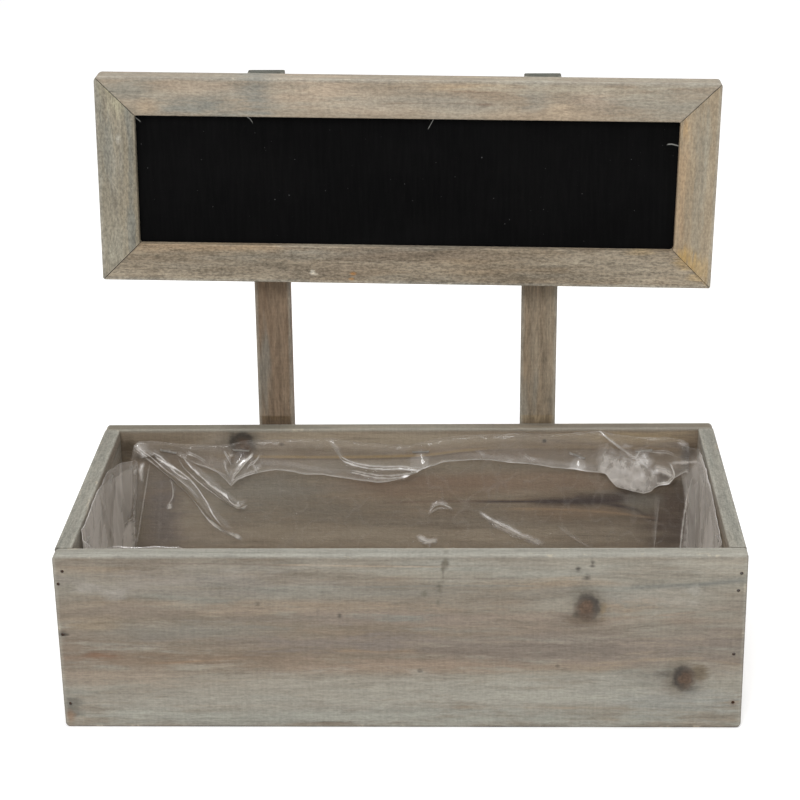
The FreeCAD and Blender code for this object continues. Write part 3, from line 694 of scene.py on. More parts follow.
# Millimetres here. "Round" runs from the back left corner along the back, right, front and left.
film_length = 380.0
film_width = 180.0
back_end = film_length
right_end = back_end + film_width
front_end = right_end + film_length
film_round = front_end + film_width
film_columns = ((back_end, 345), (right_end, 82), (front_end, 158), (film_round, 82))
floor_rows = 22
wall_rows = 74
hem_rows = 15
film_bottom = 9.45

staple_points = [
    (31.3, 98.0), (79.6, 98.6), (198.4, 97.3), (301.5, 94.2), (345.0, 97.5),
    (425.0, 97.7), (513.2, 97.7), (596.1, 97.0), (674.0, 97.0), (746.2, 97.0), (829.8, 97.0),
    (907.7, 97.0), (985.0, 97.7), (1073.2, 97.7),
]

# How high the film is turned over, and where the free edge of its hem hangs.
film_top = [
    (0, 93), (7, 92), (10, 106), (13, 108), (24, 106), (42, 104), (65, 103), (91, 107), (139, 107.5),
    (170, 104), (190, 103), (211, 107), (228, 109), (245, 110), (265, 111), (290, 110.5), (316, 111.5),
    (340, 108), (360, 108), (370, 107), (378, 103), (386, 103), (400, 106), (415, 108), (445, 110),
    (465, 110), (490, 107), (530, 105), (560, 103), (620, 106), (700, 104), (790, 107), (840, 105),
    (868, 109.5), (878, 112.4), (896, 112.7), (914, 112.9), (920, 111), (928, 110), (940, 111.4),
    (960, 111.5), (985, 111.5), (1030, 111), (1060, 109.5), (1072, 106), (1082, 102), (1095, 99),
    (1110, 95), (1120, 93),
]
hem_edge = [
    (0, 88), (7, 88), (10, 98), (22, 98.5), (37, 97.5), (44, 95.5), (50, 90.7), (57, 88.5),
    (64, 84.5), (69, 79), (72.5, 75), (77, 79), (83, 82.2), (92, 85.2), (103, 87.2), (114, 85.7),
    (122, 83.8), (134, 82.8), (149, 79.6), (160, 78.2), (166, 77.7), (171, 77.6), (176, 78),
    (182, 79.3), (189, 81.8), (197, 86), (204, 89), (214, 92), (228, 93), (242, 93), (256, 92),
    (271, 90.5), (285, 88), (299, 86), (312, 84.5), (320, 83.3), (323, 79), (327, 74.3), (334, 72),
    (345, 69), (350, 70.6), (354, 75.4), (362, 76), (365, 81.4), (371, 86), (380, 89), (386, 88),
    (400, 94), (425, 94), (460, 98), (513, 94), (540, 94), (560, 92), (600, 86), (650, 91),
    (720, 84), (780, 91), (850, 87), (900, 92), (940, 94), (965, 95), (985, 94), (1010, 95),
    (1040, 93), (1073, 94), (1095, 90), (1110, 87), (1120, 88),
]

# Folds: layer, line of (round, height, half width), how far they stand out, how milky the rims are,
# which is partly painted highlight. A flat-topped fold is a tube of film, a ridge is a pinched one.
film_folds = [
    (
        "wall", "tube",
        [
            (15, 107, 5), (18, 99, 4.5), (25, 91, 3.6), (35, 81, 3), (44, 72, 3.2), (52, 61, 2.8),
            (60, 51, 2.4), (66, 45, 2.4), (72, 38.5, 1.6),
        ],
        4.5, 0.22,
    ),
    (
        "wall", "tube",
        [
            (39, 96, 2.6), (44, 89, 2.6), (52.5, 80.5, 2.8), (61.5, 72, 2.8), (69.5, 64, 2.6),
            (76, 59.5, 2.2), (81, 62, 1.3),
        ],
        3.2, 0.2,
    ),
    ("hem", "ridge", [(73, 76.5, 2.5), (75, 84, 2.5), (81, 92, 2.0), (86, 95, 1.5)], 2.5, 0.8),
    ("hem", "ridge", [(74, 97, 1.6), (69, 91, 2.0), (70, 86, 2.0), (73, 81, 1.6)], 2.0, 0.7),
    ("hem", "ridge", [(86, 95, 1.2), (88, 90, 1.6), (90, 86, 1.6), (94, 91, 1.2)], 1.6, 0.7),
    (
        "hem", "ridge",
        [
            (139, 107, 2.5), (144, 101, 2.5), (147, 94, 2.2), (150, 90, 2.2), (160, 88, 2.0),
            (176, 87, 2.0), (190, 87, 2.0), (196, 85.5, 1.8), (196, 83, 1.6), (190, 81.5, 1.6),
            (176, 81.5, 1.6), (160, 82.5, 1.4),
        ],
        2.0, 0.3,
    ),
    (
        "wall", "ridge",
        [(204, 54, 1.6), (206, 60, 2.2), (210, 61.5, 2.2), (215, 60, 2.0), (218, 56, 1.4)],
        2.4, 0.5,
    ),
    ("wall", "ridge", [(196, 34, 1.5), (203, 32, 3.0), (204, 30, 2.0)], 1.6, 0.9),
    (
        "wall", "ridge",
        [(238, 53, 1.2), (246, 48, 2.2), (256, 43, 2.8), (265, 37.5, 2.6), (273, 34, 1.4)],
        2.8, 0.75,
    ),
    ("wall", "ridge", [(292, 45, 1.5), (298, 38, 2), (308, 32, 1.5)], 1.2, 0.2),
    ("wall", "ridge", [(354, 66, 2), (354, 50, 2.5), (353, 28, 2.5)], 2.0, 0.18),
    ("wall", "ridge", [(16, 92, 1.8), (13, 86, 2.2), (15, 80, 1.6)], 2.4, 0.75),
    ("wall", "ridge", [(31, 82, 1.2), (34, 71, 1.6), (31, 59, 1.4)], 1.6, 0.45),
    ("wall", "ridge", [(47, 62, 1.6), (55, 50, 2.0), (59, 37, 1.4)], 1.2, 0.15),
    ("hem", "ridge", [(316, 112, 2), (321, 108, 2.2), (331, 100, 1.8), (340, 94, 1.4)], 0.7, 0.08),
    (
        "hem", "ridge",
        [(340, 94, 1.4), (346, 88, 1.6), (351, 81, 1.6), (354, 75, 1.6), (362, 76, 1.6)],
        2.0, 0.3,
    ),
    ("hem", "ridge", [(340, 94, 1.4), (352, 97, 1.6), (364, 96, 1.6)], 1.4, 0.2),
    ("hem", "ridge", [(263, 97, 1.2), (268, 94, 1.6), (277, 92, 1.2)], 1.2, 0.4),
    ("hem", "ridge", [(233, 101, 1.2), (239, 96, 1.4), (242, 93, 1.2)], 1.0, 0.3),
    ("wall", "ridge", [(392, 100, 2.2), (396, 84, 3.0), (405, 60, 3.2), (416, 34, 3.0)], 3.2, 0.4),
    ("wall", "ridge", [(388, 92, 2.0), (389, 74, 2.6), (393, 40, 2.8)], 3.0, 0.45),
    ("wall", "ridge", [(411, 98, 2.0), (424, 72, 3.2), (444, 40, 3.2), (450, 22, 2.0)], 2.6, 0.3),
    ("wall", "ridge", [(430, 95, 2.0), (455, 66, 3.0), (478, 38, 2.6)], 2.2, 0.25),
    ("wall", "ridge", [(500, 96, 2.0), (492, 70, 3.0), (470, 30, 3.0)], 2.6, 0.3),
    ("wall", "ridge", [(548, 98, 2.5), (545, 60, 3.5), (552, 22, 2.0)], 3.4, 0.4),
    ("wall", "ridge", [(1031, 110, 2.4), (1042, 88, 3.0), (1067, 56, 3.0), (1076, 30, 2.0)], 2.6, 0.35),
    ("wall", "ridge", [(1092, 95, 2.0), (1096, 60, 3.0), (1100, 20, 2.4)], 2.8, 0.3),
    ("wall", "ridge", [(1050, 97, 2.0), (1030, 70, 3.0), (1000, 44, 2.4)], 2.0, 0.2),
    ("wall", "ridge", [(985, 95, 2.0), (972, 60, 3.2), (950, 26, 3.0)], 3.0, 0.3),
    ("wall", "ridge", [(602, 96, 2.0), (588, 70, 3.2), (566, 30, 3.0)], 3.2, 0.3),
    ("wall", "ridge", [(676, 95, 2.0), (700, 66, 3.2), (716, 40, 2.4)], 2.6, 0.2),
    ("wall", "ridge", [(672, 95, 2.0), (650, 74, 2.6), (640, 50, 2.4)], 2.4, 0.2),
    ("wall", "tube", [(832, 94, 2.4), (846, 70, 3.4), (868, 42, 3.0), (880, 30, 2.0)], 4.0, 0.4),
    ("wall", "ridge", [(905, 95, 2.0), (926, 66, 3.2), (936, 30, 3.2)], 3.2, 0.35),
]

# Flat planes of loose film on the side walls: middle line with half widths, how much whiter. Their
# white is partly layered film and partly painted reflection on the flat faces.
film_planes = (
    ([(1101, 99, 1), (1084, 70, 13), (1074, 20, 27)], 0.2),
    ([(1112, 100, 3), (1117, 76, 6), (1112, 52, 3)], -0.36),
    ([(1030, 112, 4), (1046, 84, 7), (1058, 50, 4)], -0.16),
    ([(960, 112, 6), (985, 92, 16), (1000, 60, 24)], 0.07),
    ([(1122, 42, 6), (1122, 34, 7)], 0.3),
    ([(1030, 113, 3), (1066, 109, 7), (1092, 101, 9), (1116, 98, 9)], -0.3),
    ([(468, 96, 1), (474, 80, 20), (480, 60, 45)], 0.15),
    ([(404, 96, 2), (412, 70, 7), (408, 40, 8)], -0.2),
    ([(440, 108, 3), (446, 84, 5), (436, 60, 4)], -0.14),
)

# Sharp creases: wall, the two axes in which the line is drawn, its points in millimetres, half
# width, how white. The white is partly whitened film and partly painted highlight.
film_creases_and_highlights = (
    (
        "back", "xz",
        [
            (-179.6, 106.4), (-174, 98), (-163.7, 86), (-155, 77.5), (-147, 69), (-136.5, 52), (-129, 43.2),
            (-118, 37.5),
        ],
        1.1, 1.0,
    ),
    (
        "back", "xz",
        [
            (-171.3, 106.3), (-167.5, 97), (-159, 89.5), (-149.4, 82.3), (-142, 74), (-136, 64),
            (-127.7, 49.4), (-120, 41),
        ],
        0.8, 0.85,
    ),
    ("back", "xz", [(-166, 93), (-157, 84), (-147, 75), (-138, 60)], 0.4, 0.5),
    ("back", "xz", [(-150, 78), (-143, 70), (-136, 58), (-128, 47)], 1.8, 0.25),
    ("back", "xz", [(-136, 50.5), (-127, 43.5), (-121, 40), (-111, 34)], 1.7, 1.0),
    ("back", "xz", [(-183, 108), (-174, 101), (-164, 90), (-152, 80)], 0.6, 0.8),
    ("back", "xz", [(-172, 102), (-163, 94), (-153, 83), (-143, 76)], 0.5, 0.6),
    ("back", "xz", [(-155, 98), (-146, 83.5), (-135.5, 72.6), (-124.7, 64), (-113, 56.5)], 0.8, 0.95),
    (
        "back", "xz",
        [(-150.5, 98), (-141.5, 86), (-131, 75), (-122, 67.7), (-114.8, 60.2), (-107, 63.5)],
        1.0, 1.0,
    ),
    ("back", "xz", [(-148, 88), (-134, 74.5), (-122, 65), (-111, 58)], 1.7, 0.4),
    ("back", "xz", [(-121, 62), (-116, 58.5), (-112, 58), (-107, 62)], 1.2, 0.9),
    ("back", "xz", [(-143, 91), (-137, 88), (-130, 85.5), (-120, 80)], 0.7, 0.55),
    ("back", "xz", [(-146, 99), (-140, 96), (-136, 93), (-133, 90)], 0.5, 0.6),
    ("back", "xz", [(-119.5, 71), (-117, 79), (-111, 87), (-106, 93), (-101, 98)], 0.9, 0.9),
    ("back", "xz", [(-119, 74), (-113.5, 79.5), (-107, 82.5), (-98, 85.5)], 0.9, 0.75),
    ("back", "xz", [(-122, 99), (-119, 95), (-117, 90), (-116, 84)], 0.7, 0.7),
    ("back", "xz", [(-108, 84), (-105, 89), (-101, 92), (-97, 97)], 0.6, 0.7),
    (
        "back", "xz",
        [
            (-54, 107.5), (-51, 105), (-46.9, 99.4), (-41.6, 92.5), (-29.6, 88.6), (-15, 87.5), (0, 87.5),
            (13, 86),
        ],
        0.6, 0.85,
    ),
    ("back", "xz", [(-44, 85), (-35, 83.8), (-24, 81.7), (-13, 80.9), (-1, 82.5), (12, 86.5)], 0.7, 0.9),
    ("back", "xz", [(-35, 79.5), (-22, 78), (-10, 78.5), (4, 82.5)], 1.3, 0.3),
    ("back", "xz", [(-105, 90), (-90, 91), (-60, 86), (-38, 82)], 1.6, 0.25),
    ("back", "xz", [(30, 95.5), (66, 93), (95, 90), (121, 86.5), (136, 85)], 1.8, 0.3),
    ("back", "xz", [(123, 114), (129, 109.5), (135, 104), (142, 99)], 0.5, 0.55),
    (
        "back", "xz",
        [(130, 108.5), (141.5, 99.4), (148, 94), (155, 88.5), (160, 82.6), (165.5, 73)],
        0.4, 0.6,
    ),
    ("back", "xz", [(142, 98), (147, 95), (152, 92), (157, 86)], 0.6, 0.6),
    ("back", "xz", [(147, 93.5), (156, 96.8), (165, 98), (177, 95)], 0.3, 0.5),
    ("back", "xz", [(145, 97), (149, 94), (152, 97), (156, 98)], 0.4, 0.8),
    ("back", "xz", [(162, 75.2), (168, 75.1), (171.7, 76), (176, 83)], 0.6, 0.9),
    ("back", "zx", [(74, 168), (78, 172.5), (82, 174.6), (86, 174), (91, 169)], 0.6, 0.9),
    ("back", "xz", [(161, 86.5), (167, 85), (170, 83.5), (175, 82)], 2.0, 0.8),
    ("back", "xz", [(12, 49), (15, 57), (20, 60.5), (25, 59.5), (30, 54)], 0.9, 0.9),
    ("back", "xz", [(12, 52), (16, 55.5), (22, 57.5), (30, 56)], 0.9, 0.5),
    ("back", "xz", [(45, 56), (58, 47.5), (70, 41), (86, 32)], 1.0, 0.75),
    ("back", "xz", [(50, 50), (66, 41), (78, 35.5), (92, 30)], 2.2, 0.75),
    ("back", "xz", [(4, 37), (10, 34.5), (15, 33), (20, 36)], 1.8, 0.8),
    ("back", "xz", [(76, 97), (80, 94), (84, 91)], 0.4, 0.6),
    ("back", "xz", [(105, 97), (109, 95), (115, 92)], 0.5, 0.6),
    ("back", "xz", [(98, 46), (108, 37), (122, 28)], 0.7, 0.3),
    ("back", "zx", [(56, -160.5), (60, -160), (69, -157), (80, -160)], 0.5, 0.7),
    ("back", "zx", [(56, -160.5), (58, -160), (61, -159.8)], 1.4, 0.8),
    ("back", "zx", [(77, -176.3), (84.8, -176.5), (93, -174)], 1.5, 0.85),
    ("back", "zx", [(52, -184.2), (59, -184.8), (72.7, -185.7), (86, -186.4)], 0.4, 0.6),
    ("back", "zx", [(18, -186.4), (36, -186.9), (56, -185.2)], 3.0, 1.0),
    ("back", "zx", [(20, -186.2), (47, -180), (70.2, -175.2), (97, -169.8)], 0.5, 0.45),
    ("back", "zx", [(10, -191), (47, -184), (70.2, -179.5), (104, -174)], 3.5, 0.22),
    ("back", "zx", [(15, -170.8), (52, -166.8), (76, -164.2), (86, -163.5)], 1.5, 0.14),
    ("back", "zx", [(15, -165), (52, -161.2), (76, -157.6), (86, -157)], 1.0, 0.1),
    ("back", "zx", [(15, 163), (45, 164.3), (56, 165.2), (66, 166)], 0.5, 0.35),
    ("back", "xz", [(-190, 56), (-187, 54), (-183, 51.5)], 0.5, 0.7),
    ("back", "xz", [(-190, 49), (-186.5, 52), (-183, 54.5)], 0.5, 0.7),
    ("left", "zy", [(40, 38), (58, 30), (79, 16), (95, 6), (112, -3)], 1.6, 0.35),
    ("left", "zy", [(20, 88), (49, 79), (66, 79), (98, 81)], 0.6, 0.3),
    ("left", "zy", [(20, 60), (49, 50), (66, 49), (98, 40)], 5.0, 0.15),
    ("right", "yz", [(-10, 112), (30, 108.5), (55, 106), (74, 103)], 2.2, 0.6),
    ("right", "yz", [(40, 104), (60, 101), (78, 94), (92, 86)], 1.0, 0.5),
    ("back", "zx", [(15, 180.2), (49, 182.2), (69, 184), (97, 188)], 0.6, 0.7),
    ("back", "zx", [(0, 184), (49, 186.5), (69, 188.5), (112, 193)], 3.6, 0.5),
    ("right", "zy", [(10, 20), (40, 36), (70, 52), (100, 66)], 3.0, 0.18),
)

# Crumpled patches in the hem: line through the middle, half width, least and most white. Their
# white varies by facet as painted reflection, with painted highlight on the facet edges.
film_patches_and_glints = (
    ([(-184, 108), (-175, 102), (-166, 92), (-156, 81), (-146, 72)], 5.0, 0.1, 0.6),
    ([(121, 84), (134, 82), (147, 80), (162, 79)], 14.0, 0.78, 1.05),
    ([(122, 83), (140, 81), (156, 79), (170, 80)], 11.0, 0.42, 0.75),
    ([(158, 83), (168, 83), (181, 83)], 5.0, 0.1, 0.3),
    ([(-132, 88), (-118, 83), (-108, 84), (-94, 87)], 5.0, 0.1, 0.4),
    ([(-148, 91), (-134, 90), (-118, 86)], 4.0, 0.15, 0.25),
)


def placed(name, bm):
    """An object made of a finished bmesh."""
    mesh = bpy.data.meshes.new(name)
    bm.to_mesh(mesh)
    bm.free()
    piece = bpy.data.objects.new(name, mesh)
    bpy.context.collection.objects.link(piece)
    return piece


def in_metres(line):
    """A line's points, from millimetres."""
    return [(a / 1000, b / 1000) for a, b in line]


def level(table, s):
    """A height read between the points of a table."""
    return np.interp(s, [row[0] for row in table], [row[1] for row in table])


def soft_step(value, low, high):
    """0 below low, 1 above high, smooth between."""
    share = np.clip((value - low) / (high - low), 0, 1)
    return share * share * (3 - 2 * share)


def drift(s, z, grain_s, grain_z, seed):
    """Smooth noise from -1 to 1 over the unrolled film; it meets itself at the corner."""
    angle = s / film_round * 2 * math.pi
    reach = film_round / (2 * math.pi) / grain_s
    place = [(reach * math.cos(a), reach * math.sin(a) + seed, h / grain_z) for a, h in zip(angle, z)]
    return np.array([noise.noise(point) for point in place])


def along_line(s, z, line):
    """Distance from a bent line, its half width there, and how far along it each point is."""
    nearest = np.full(s.shape, 1e9)
    width = np.ones(s.shape)
    far = np.zeros(s.shape)
    for step, (first, second) in enumerate(zip(line, line[1:])):
        run = (second[0] - first[0], second[1] - first[1])
        share = ((s - first[0]) * run[0] + (z - first[1]) * run[1]) / (run[0] ** 2 + run[1] ** 2)
        share = np.clip(share, 0, 1)
        gap = np.hypot(s - first[0] - share * run[0], z - first[1] - share * run[1])
        closer = gap < nearest
        nearest = np.where(closer, gap, nearest)
        width = np.where(closer, first[2] + (second[2] - first[2]) * share, width)
        far = np.where(closer, (step + share) / (len(line) - 1), far)
    return nearest, width, far


def raised(s, z, layer):
    """How far the folds of one layer lift the film, and how milky they make it, with painted highlight on
    the rims.
    """
    lift = np.zeros(s.shape)
    milk_and_highlight = np.zeros(s.shape)
    for where, shape, line, height, rim_milk_and_highlight in film_folds:
        if where != layer:
            continue
        gap, width, far = along_line(s, z, line)
        ends = np.sin(np.clip(far, 0.02, 0.98) * math.pi) ** 0.35
        share = gap / width
        if shape == "tube":
            rise = 1 - soft_step(share, 0.55, 1.3)
            rim = np.exp(-(((gap - width * 0.85) / 0.6) ** 2))
        else:
            rise = 1 / (1 + share**2) ** 2
            rim = np.exp(-((gap / (0.45 * width)) ** 2))
        lift = np.maximum(lift, height * rise * ends)
        milk_and_highlight = np.maximum(milk_and_highlight, rim_milk_and_highlight * rim * ends)
    return lift, milk_and_highlight


def corner_stand(s, z):
    """How far the film cuts across the corners, with the pleats that fan up out of them."""
    stand = np.zeros(s.shape)
    rise = soft_step(z, 8, 100)
    for corner, cut, reach, seed in (
        (0.0, 9.0, 15.0, 0.3),
        (back_end, 7.0, 12.0, 1.9),
        (right_end, 8.0, 15.0, 3.1),
        (front_end, 8.0, 15.0, 4.4),
    ):
        away = (s - corner + film_round / 2) % film_round - film_round / 2
        near = np.exp(-((away / reach) ** 2))
        stand += near * (2.0 + cut * rise)
        fan = away / (5.0 + 9.0 * rise)
        pleat = np.sin(2 * math.pi * fan + seed) * np.exp(-((away / 34.0) ** 2))
        stand += 0.8 * rise * pleat
    return stand


def near_staples(s, z, reach):
    """1 at a staple, falling to 0 round it."""
    held = np.zeros(s.shape)
    for place, height in staple_points:
        gap = np.hypot(s - place, z - height)
        held = np.maximum(held, np.exp(-((gap / reach) ** 2)))
    return held


def on_side_walls(s, inset):
    """Whether a place is on the right or left wall, at least an inset away from its corners."""
    on_right = (s > back_end + inset) & (s < right_end - inset)
    return on_right | (s > front_end + inset) & (s < film_round - inset)


def off_the_wall(s, z):
    """How far the layer next to the boards stands from them, and its milkiness, with painted highlight on
    fold rims and creases.
    """
    high = soft_step(z, 12, 40)
    calm = np.where(on_side_walls(s, 4), 0.35, 1.0)
    slack = 1.3 + 1.6 * drift(s, z, 34, 46, 1.0) + 0.9 * drift(s, z, 13, 30, 4.0)
    slack += 0.45 * calm * drift(s, z, 5, 9, 8.0)
    crumple = np.abs(drift(s, z, 11, 16, 12.0)) + 0.6 * np.abs(drift(s, z, 5, 7, 15.0))
    lift, milk_and_highlight = raised(s, z, "wall")
    stand = calm * (np.maximum(slack, 0) * high + crumple + lift) + corner_stand(s, z)
    stand += 3.0 * np.exp(-(z - film_bottom) / 4.0)
    faint = np.exp(-((np.abs(drift(s, z, 11, 16, 12.0)) / 0.05) ** 2))
    return stand, np.maximum(milk_and_highlight, 0.10 * faint)


def box_walls(s):
    """The point of the boards' inner faces at a distance round them, and the way inwards."""
    s = s % film_round
    long = film_length / 2
    short = film_width / 2
    back_right_front = [s < back_end, s < right_end, s < front_end]
    x = np.select(back_right_front, [s - long, long, right_end + long - s], -long)
    y = np.select(back_right_front, [short, back_end + short - s, -short], s - front_end - short)
    inward_x = np.select(back_right_front, [0.0, -1.0, 0.0], 1.0)
    inward_y = np.select(back_right_front, [-1.0, 0.0, 1.0], 0.0)
    return x, y, inward_x, inward_y


def rounded_walls(s):
    """The same, with the corners taken smoothly."""
    corner_radius = 6.0
    samples = [box_walls(s + shift) for shift in np.linspace(-corner_radius, corner_radius, 13)]
    x, y, inward_x, inward_y = (sum(part) / len(samples) for part in zip(*samples))
    size = np.hypot(inward_x, inward_y)
    return x, y, inward_x / size, inward_y / size


def loose_veil(s, z):
    """How milky the loose film is that hangs in front of the side walls and the back corner: partly its
    layers, partly painted light.
    """
    pleats = 0.22 + 0.35 * soft_step(drift(s + 0.7 * z, z, 34, 200, 51.0), -0.02, 0.05)
    pleats += 0.33 * soft_step(drift(s - 1.2 * z, z, 30, 200, 57.0), -0.02, 0.05)
    pleats += 0.35 * drift(s, z, 4, 110, 59.0)
    pleats = np.clip(pleats, 0, 1)
    planes = np.zeros(s.shape)
    for line, white in film_planes:
        gap, width, _ = along_line(s, z, line)
        planes += white * (1 - soft_step(gap / width, 0.85, 1.1))
    left = 0.32 + 0.13 * soft_step(-s, -1070, -990) + 0.34 * pleats + planes
    left = left * soft_step(s, front_end + 2, front_end + 20)
    right = 0.34 + 0.14 * soft_step(s, 430, 500) + 0.3 * pleats + planes
    gather = s - back_end - 20 * soft_step(z, 78, 104)
    right = right * soft_step(gather, 0, 5) * soft_step(-s, -right_end, -520)
    back = 0.07 * soft_step(-s, -110, -40) * (s < 200)
    return left + right + back


rows = floor_rows + wall_rows + hem_rows
steps = [0]
marks = [0]
for end, count in film_columns:
    steps.append(steps[-1] + count)
    marks.append(end)
columns = steps[-1]
bm = bmesh.new()
bmesh.ops.create_grid(bm, x_segments=columns, y_segments=rows, size=0.5)
bm.verts.ensure_lookup_table()
across = np.array([v.co.x + 0.5 for v in bm.verts])
up = np.array([v.co.y + 0.5 for v in bm.verts])
s = np.interp(across * columns, steps, marks)
row = up * rows
on_floor = row < floor_rows - 0.5
on_hem = row > floor_rows + wall_rows + 0.5

# Heights: the wall's lowest rows are wider apart than the rest, and the hem's run back down.
lowest = 0.12
widened = 2.0
top = level(film_top, s) + 0.7 * drift(s, np.zeros(s.shape), 12, 1, 2.0)
edge = level(hem_edge, s) + 0.25 * drift(s, np.zeros(s.shape), 9, 1, 5.0)
climb = np.clip((row - floor_rows) / wall_rows, 0, 1)
above = lowest * widened + (climb - lowest) * (1 - lowest * widened) / (1 - lowest)
climb = np.where(climb < lowest, climb * widened, above)
z = film_bottom + climb * (top - film_bottom)
fold = np.clip((row - floor_rows - wall_rows) / hem_rows, 0, 1)
drop = fold * (top - edge)
z = np.where(on_hem, top - drop, z)

# Distances from the boards: a staple holds both layers down, and the hem gapes below its fold.
least_stand = 0.35
held_gape = 0.28
stand, milk_and_highlight = off_the_wall(s, z)
held = near_staples(s, z, 5.5)
stand = least_stand + np.maximum(stand, 0) * (1 - held)
gape = 0.7 + 1.6 * soft_step(fold, 0.0, 0.25) + 2.2 * fold * (0.6 + 0.5 * drift(s, z, 18, 60, 31.0))
side_wall = np.where(on_side_walls(s, -2), 1.0, 0.0)
gape = gape * (1 - held) * (1 - 0.7 * side_wall) + held_gape * held
hem_lift, hem_milk_and_highlight = raised(s, z, "hem")
patch = np.exp(-(((s - 339) / 15) ** 2) - ((z - 81) / 9) ** 2)
patch += 0.45 * np.exp(-(((s - 358) / 9) ** 2) - ((z - 82) / 8) ** 2)
facets = [noise.voronoi(Vector((a / 6.5, h / 5.5, 3.0)))[0] for a, h in zip(s, z)]
shaken = np.array([min(gaps[1] - gaps[0], 0.6) for gaps in facets])
hem_stand = stand + gape + hem_lift * (1 - held) + patch * shaken * 4.0
stand = np.where(on_hem, hem_stand, stand)

# Milkiness and painted highlight: the hem's free edge, the folds' rims, the dimples at the staples and the
# loose veils.
hem_body = 0.01 + 0.1 * soft_step(fold, 0.3, 0.6) * soft_step(s, 40, 60) + 0.08 * fold**4
hem_milk_and_highlight = np.maximum(hem_milk_and_highlight, 0.55 * soft_step(fold, 0.92, 1.0) * soft_step(s, 40, 52) + hem_body)
hem_milk_and_highlight = hem_milk_and_highlight * (1 - 0.9 * side_wall)
milk_and_highlight = np.where(on_hem, hem_milk_and_highlight, milk_and_highlight)
milk_and_highlight = np.maximum(milk_and_highlight, 0.15 * near_staples(s, z, 2.5))
milk_and_highlight = np.maximum(milk_and_highlight, np.where(on_hem, 0, loose_veil(s, z)))
front_rim = np.exp(-(((s - 896) / 22) ** 6)) * soft_step(z, 110.5, 112.3)
milk_and_highlight = np.maximum(milk_and_highlight, 0.36 * front_rim)

# Places, and the floor: rows that run from the middle line out to the walls.
floor_milk = 0.06
ridge_half = (film_length - film_width) / 2
wall_x, wall_y, inward_x, inward_y = rounded_walls(s)
x = wall_x + inward_x * stand
y = wall_y + inward_y * stand
share = np.clip(row / floor_rows, 0, 1)
middle_x = np.clip(wall_x, -ridge_half, ridge_half)
x = np.where(on_floor, middle_x + (x - middle_x) * share, x)
y = np.where(on_floor, y * share, y)
wave = 0.5 * np.abs(drift(s, share * 90, 30, 24, 41.0)) + 0.5 * np.abs(drift(s, share * 90, 9, 9, 45.0))
z = np.where(on_floor, film_bottom + wave * np.sin(share * math.pi) * 3.0, z)
milk_and_highlight = np.where(on_floor, floor_milk, milk_and_highlight)

crease_and_highlight = bm.verts.layers.float.new("crease_and_highlight")
hem = bm.verts.layers.float.new("hem")
for vert, *place, white, folded in zip(bm.verts, x, y, z, milk_and_highlight, on_hem):
    vert.co = Vector(place) / 1000
    vert[crease_and_highlight] = white
    vert[hem] = folded
bmesh.ops.remove_doubles(bm, verts=bm.verts, dist=1e-5)
bmesh.ops.recalc_face_normals(bm, faces=bm.faces)
for face in bm.faces:
    face.smooth = True
film = placed("film_liner", bm)
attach(film, "root")
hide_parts("liner")

# The film's white along creases and fold rims is partly whitened film and partly painted highlight.
clear_film, tree, shader = new_material("clear film")
place = on_the_piece(tree)
axes = split(tree, place)
milky_and_highlit = added(tree, "ShaderNodeAttribute", attribute_name="crease_and_highlight").outputs["Fac"]
hem_share = added(tree, "ShaderNodeAttribute", attribute_name="hem").outputs["Fac"]
walls = {
    "back": ramp(tree, axes[1], 0.06, 0.065),
    "left": ramp(tree, axes[0], -0.17, -0.165, 1.0, 0.0),
    "right": ramp(tree, axes[0], 0.17, 0.175),
}
wobble = number(tree, "MULTIPLY_ADD", speckle(tree, place, (220, 220, 220), 7.0), 2.0, -1.0)
# Drawn white lines on the film: painted highlights, partly whitened creases.
for wall, way, line, half_width, strength in film_creases_and_highlights:
    along, across = (axes["xyz".index(letter)] for letter in way)
    mask = drawn_line(tree, along, across, wobble, in_metres(line), half_width / 1000)
    mask = number(tree, "MULTIPLY", mask, walls[wall])
    milky_and_highlit = number(tree, "MAXIMUM", milky_and_highlit, number(tree, "MULTIPLY", mask, strength))
warp = added(tree, "ShaderNodeTexNoise", {"Vector": place, "Scale": 90.0}).outputs[1]
bent = vector(tree, "MULTIPLY_ADD", warp, (0.006, 0.006, 0.006), place)
cells = {"Vector": bent, "Scale": 150.0}
facets = added(tree, "ShaderNodeTexVoronoi", cells, feature="F1").outputs
ridges = added(tree, "ShaderNodeTexVoronoi", cells, feature="DISTANCE_TO_EDGE").outputs["Distance"]
ridges = ramp(tree, ridges, 0.0, 0.07, 1.0, 0.0)
facet = added(tree, "ShaderNodeSeparateColor", {0: facets["Color"]}).outputs[0]
# Each facet its own white, brighter at its edges: painted reflection and highlight on crumpled film.
facet_reflections = summed(tree, (facet, 0.6), (facets["Distance"], 0.4), (ridges, 0.25))
for line, half_width, least, most in film_patches_and_glints:
    mask = drawn_line(tree, axes[0], axes[2], wobble, in_metres(line), half_width / 1000)
    mask = number(tree, "MULTIPLY", number(tree, "MULTIPLY", mask, hem_share), walls["back"])
    white = number(tree, "MULTIPLY_ADD", facet_reflections, most - least, least)
    milky_and_highlit = number(tree, "MAXIMUM", milky_and_highlit, number(tree, "MULTIPLY", white, mask))
edge_on = added(tree, "ShaderNodeLayerWeight", {"Blend": 0.5}).outputs["Facing"]
edge_on = number(tree, "POWER", edge_on, 4.0)
haze = speckle(tree, place, (60, 60, 60), 3.0)
cover = number(tree, "ADD", 0.005, number(tree, "MULTIPLY", haze, 0.05))
cover = number(tree, "ADD", cover, number(tree, "MULTIPLY", edge_on, 0.28))
cover = number(tree, "ADD", cover, number(tree, "MULTIPLY", milky_and_highlit, 0.97), clamp=True)
tree.links.new(cover, shader.inputs["Alpha"])
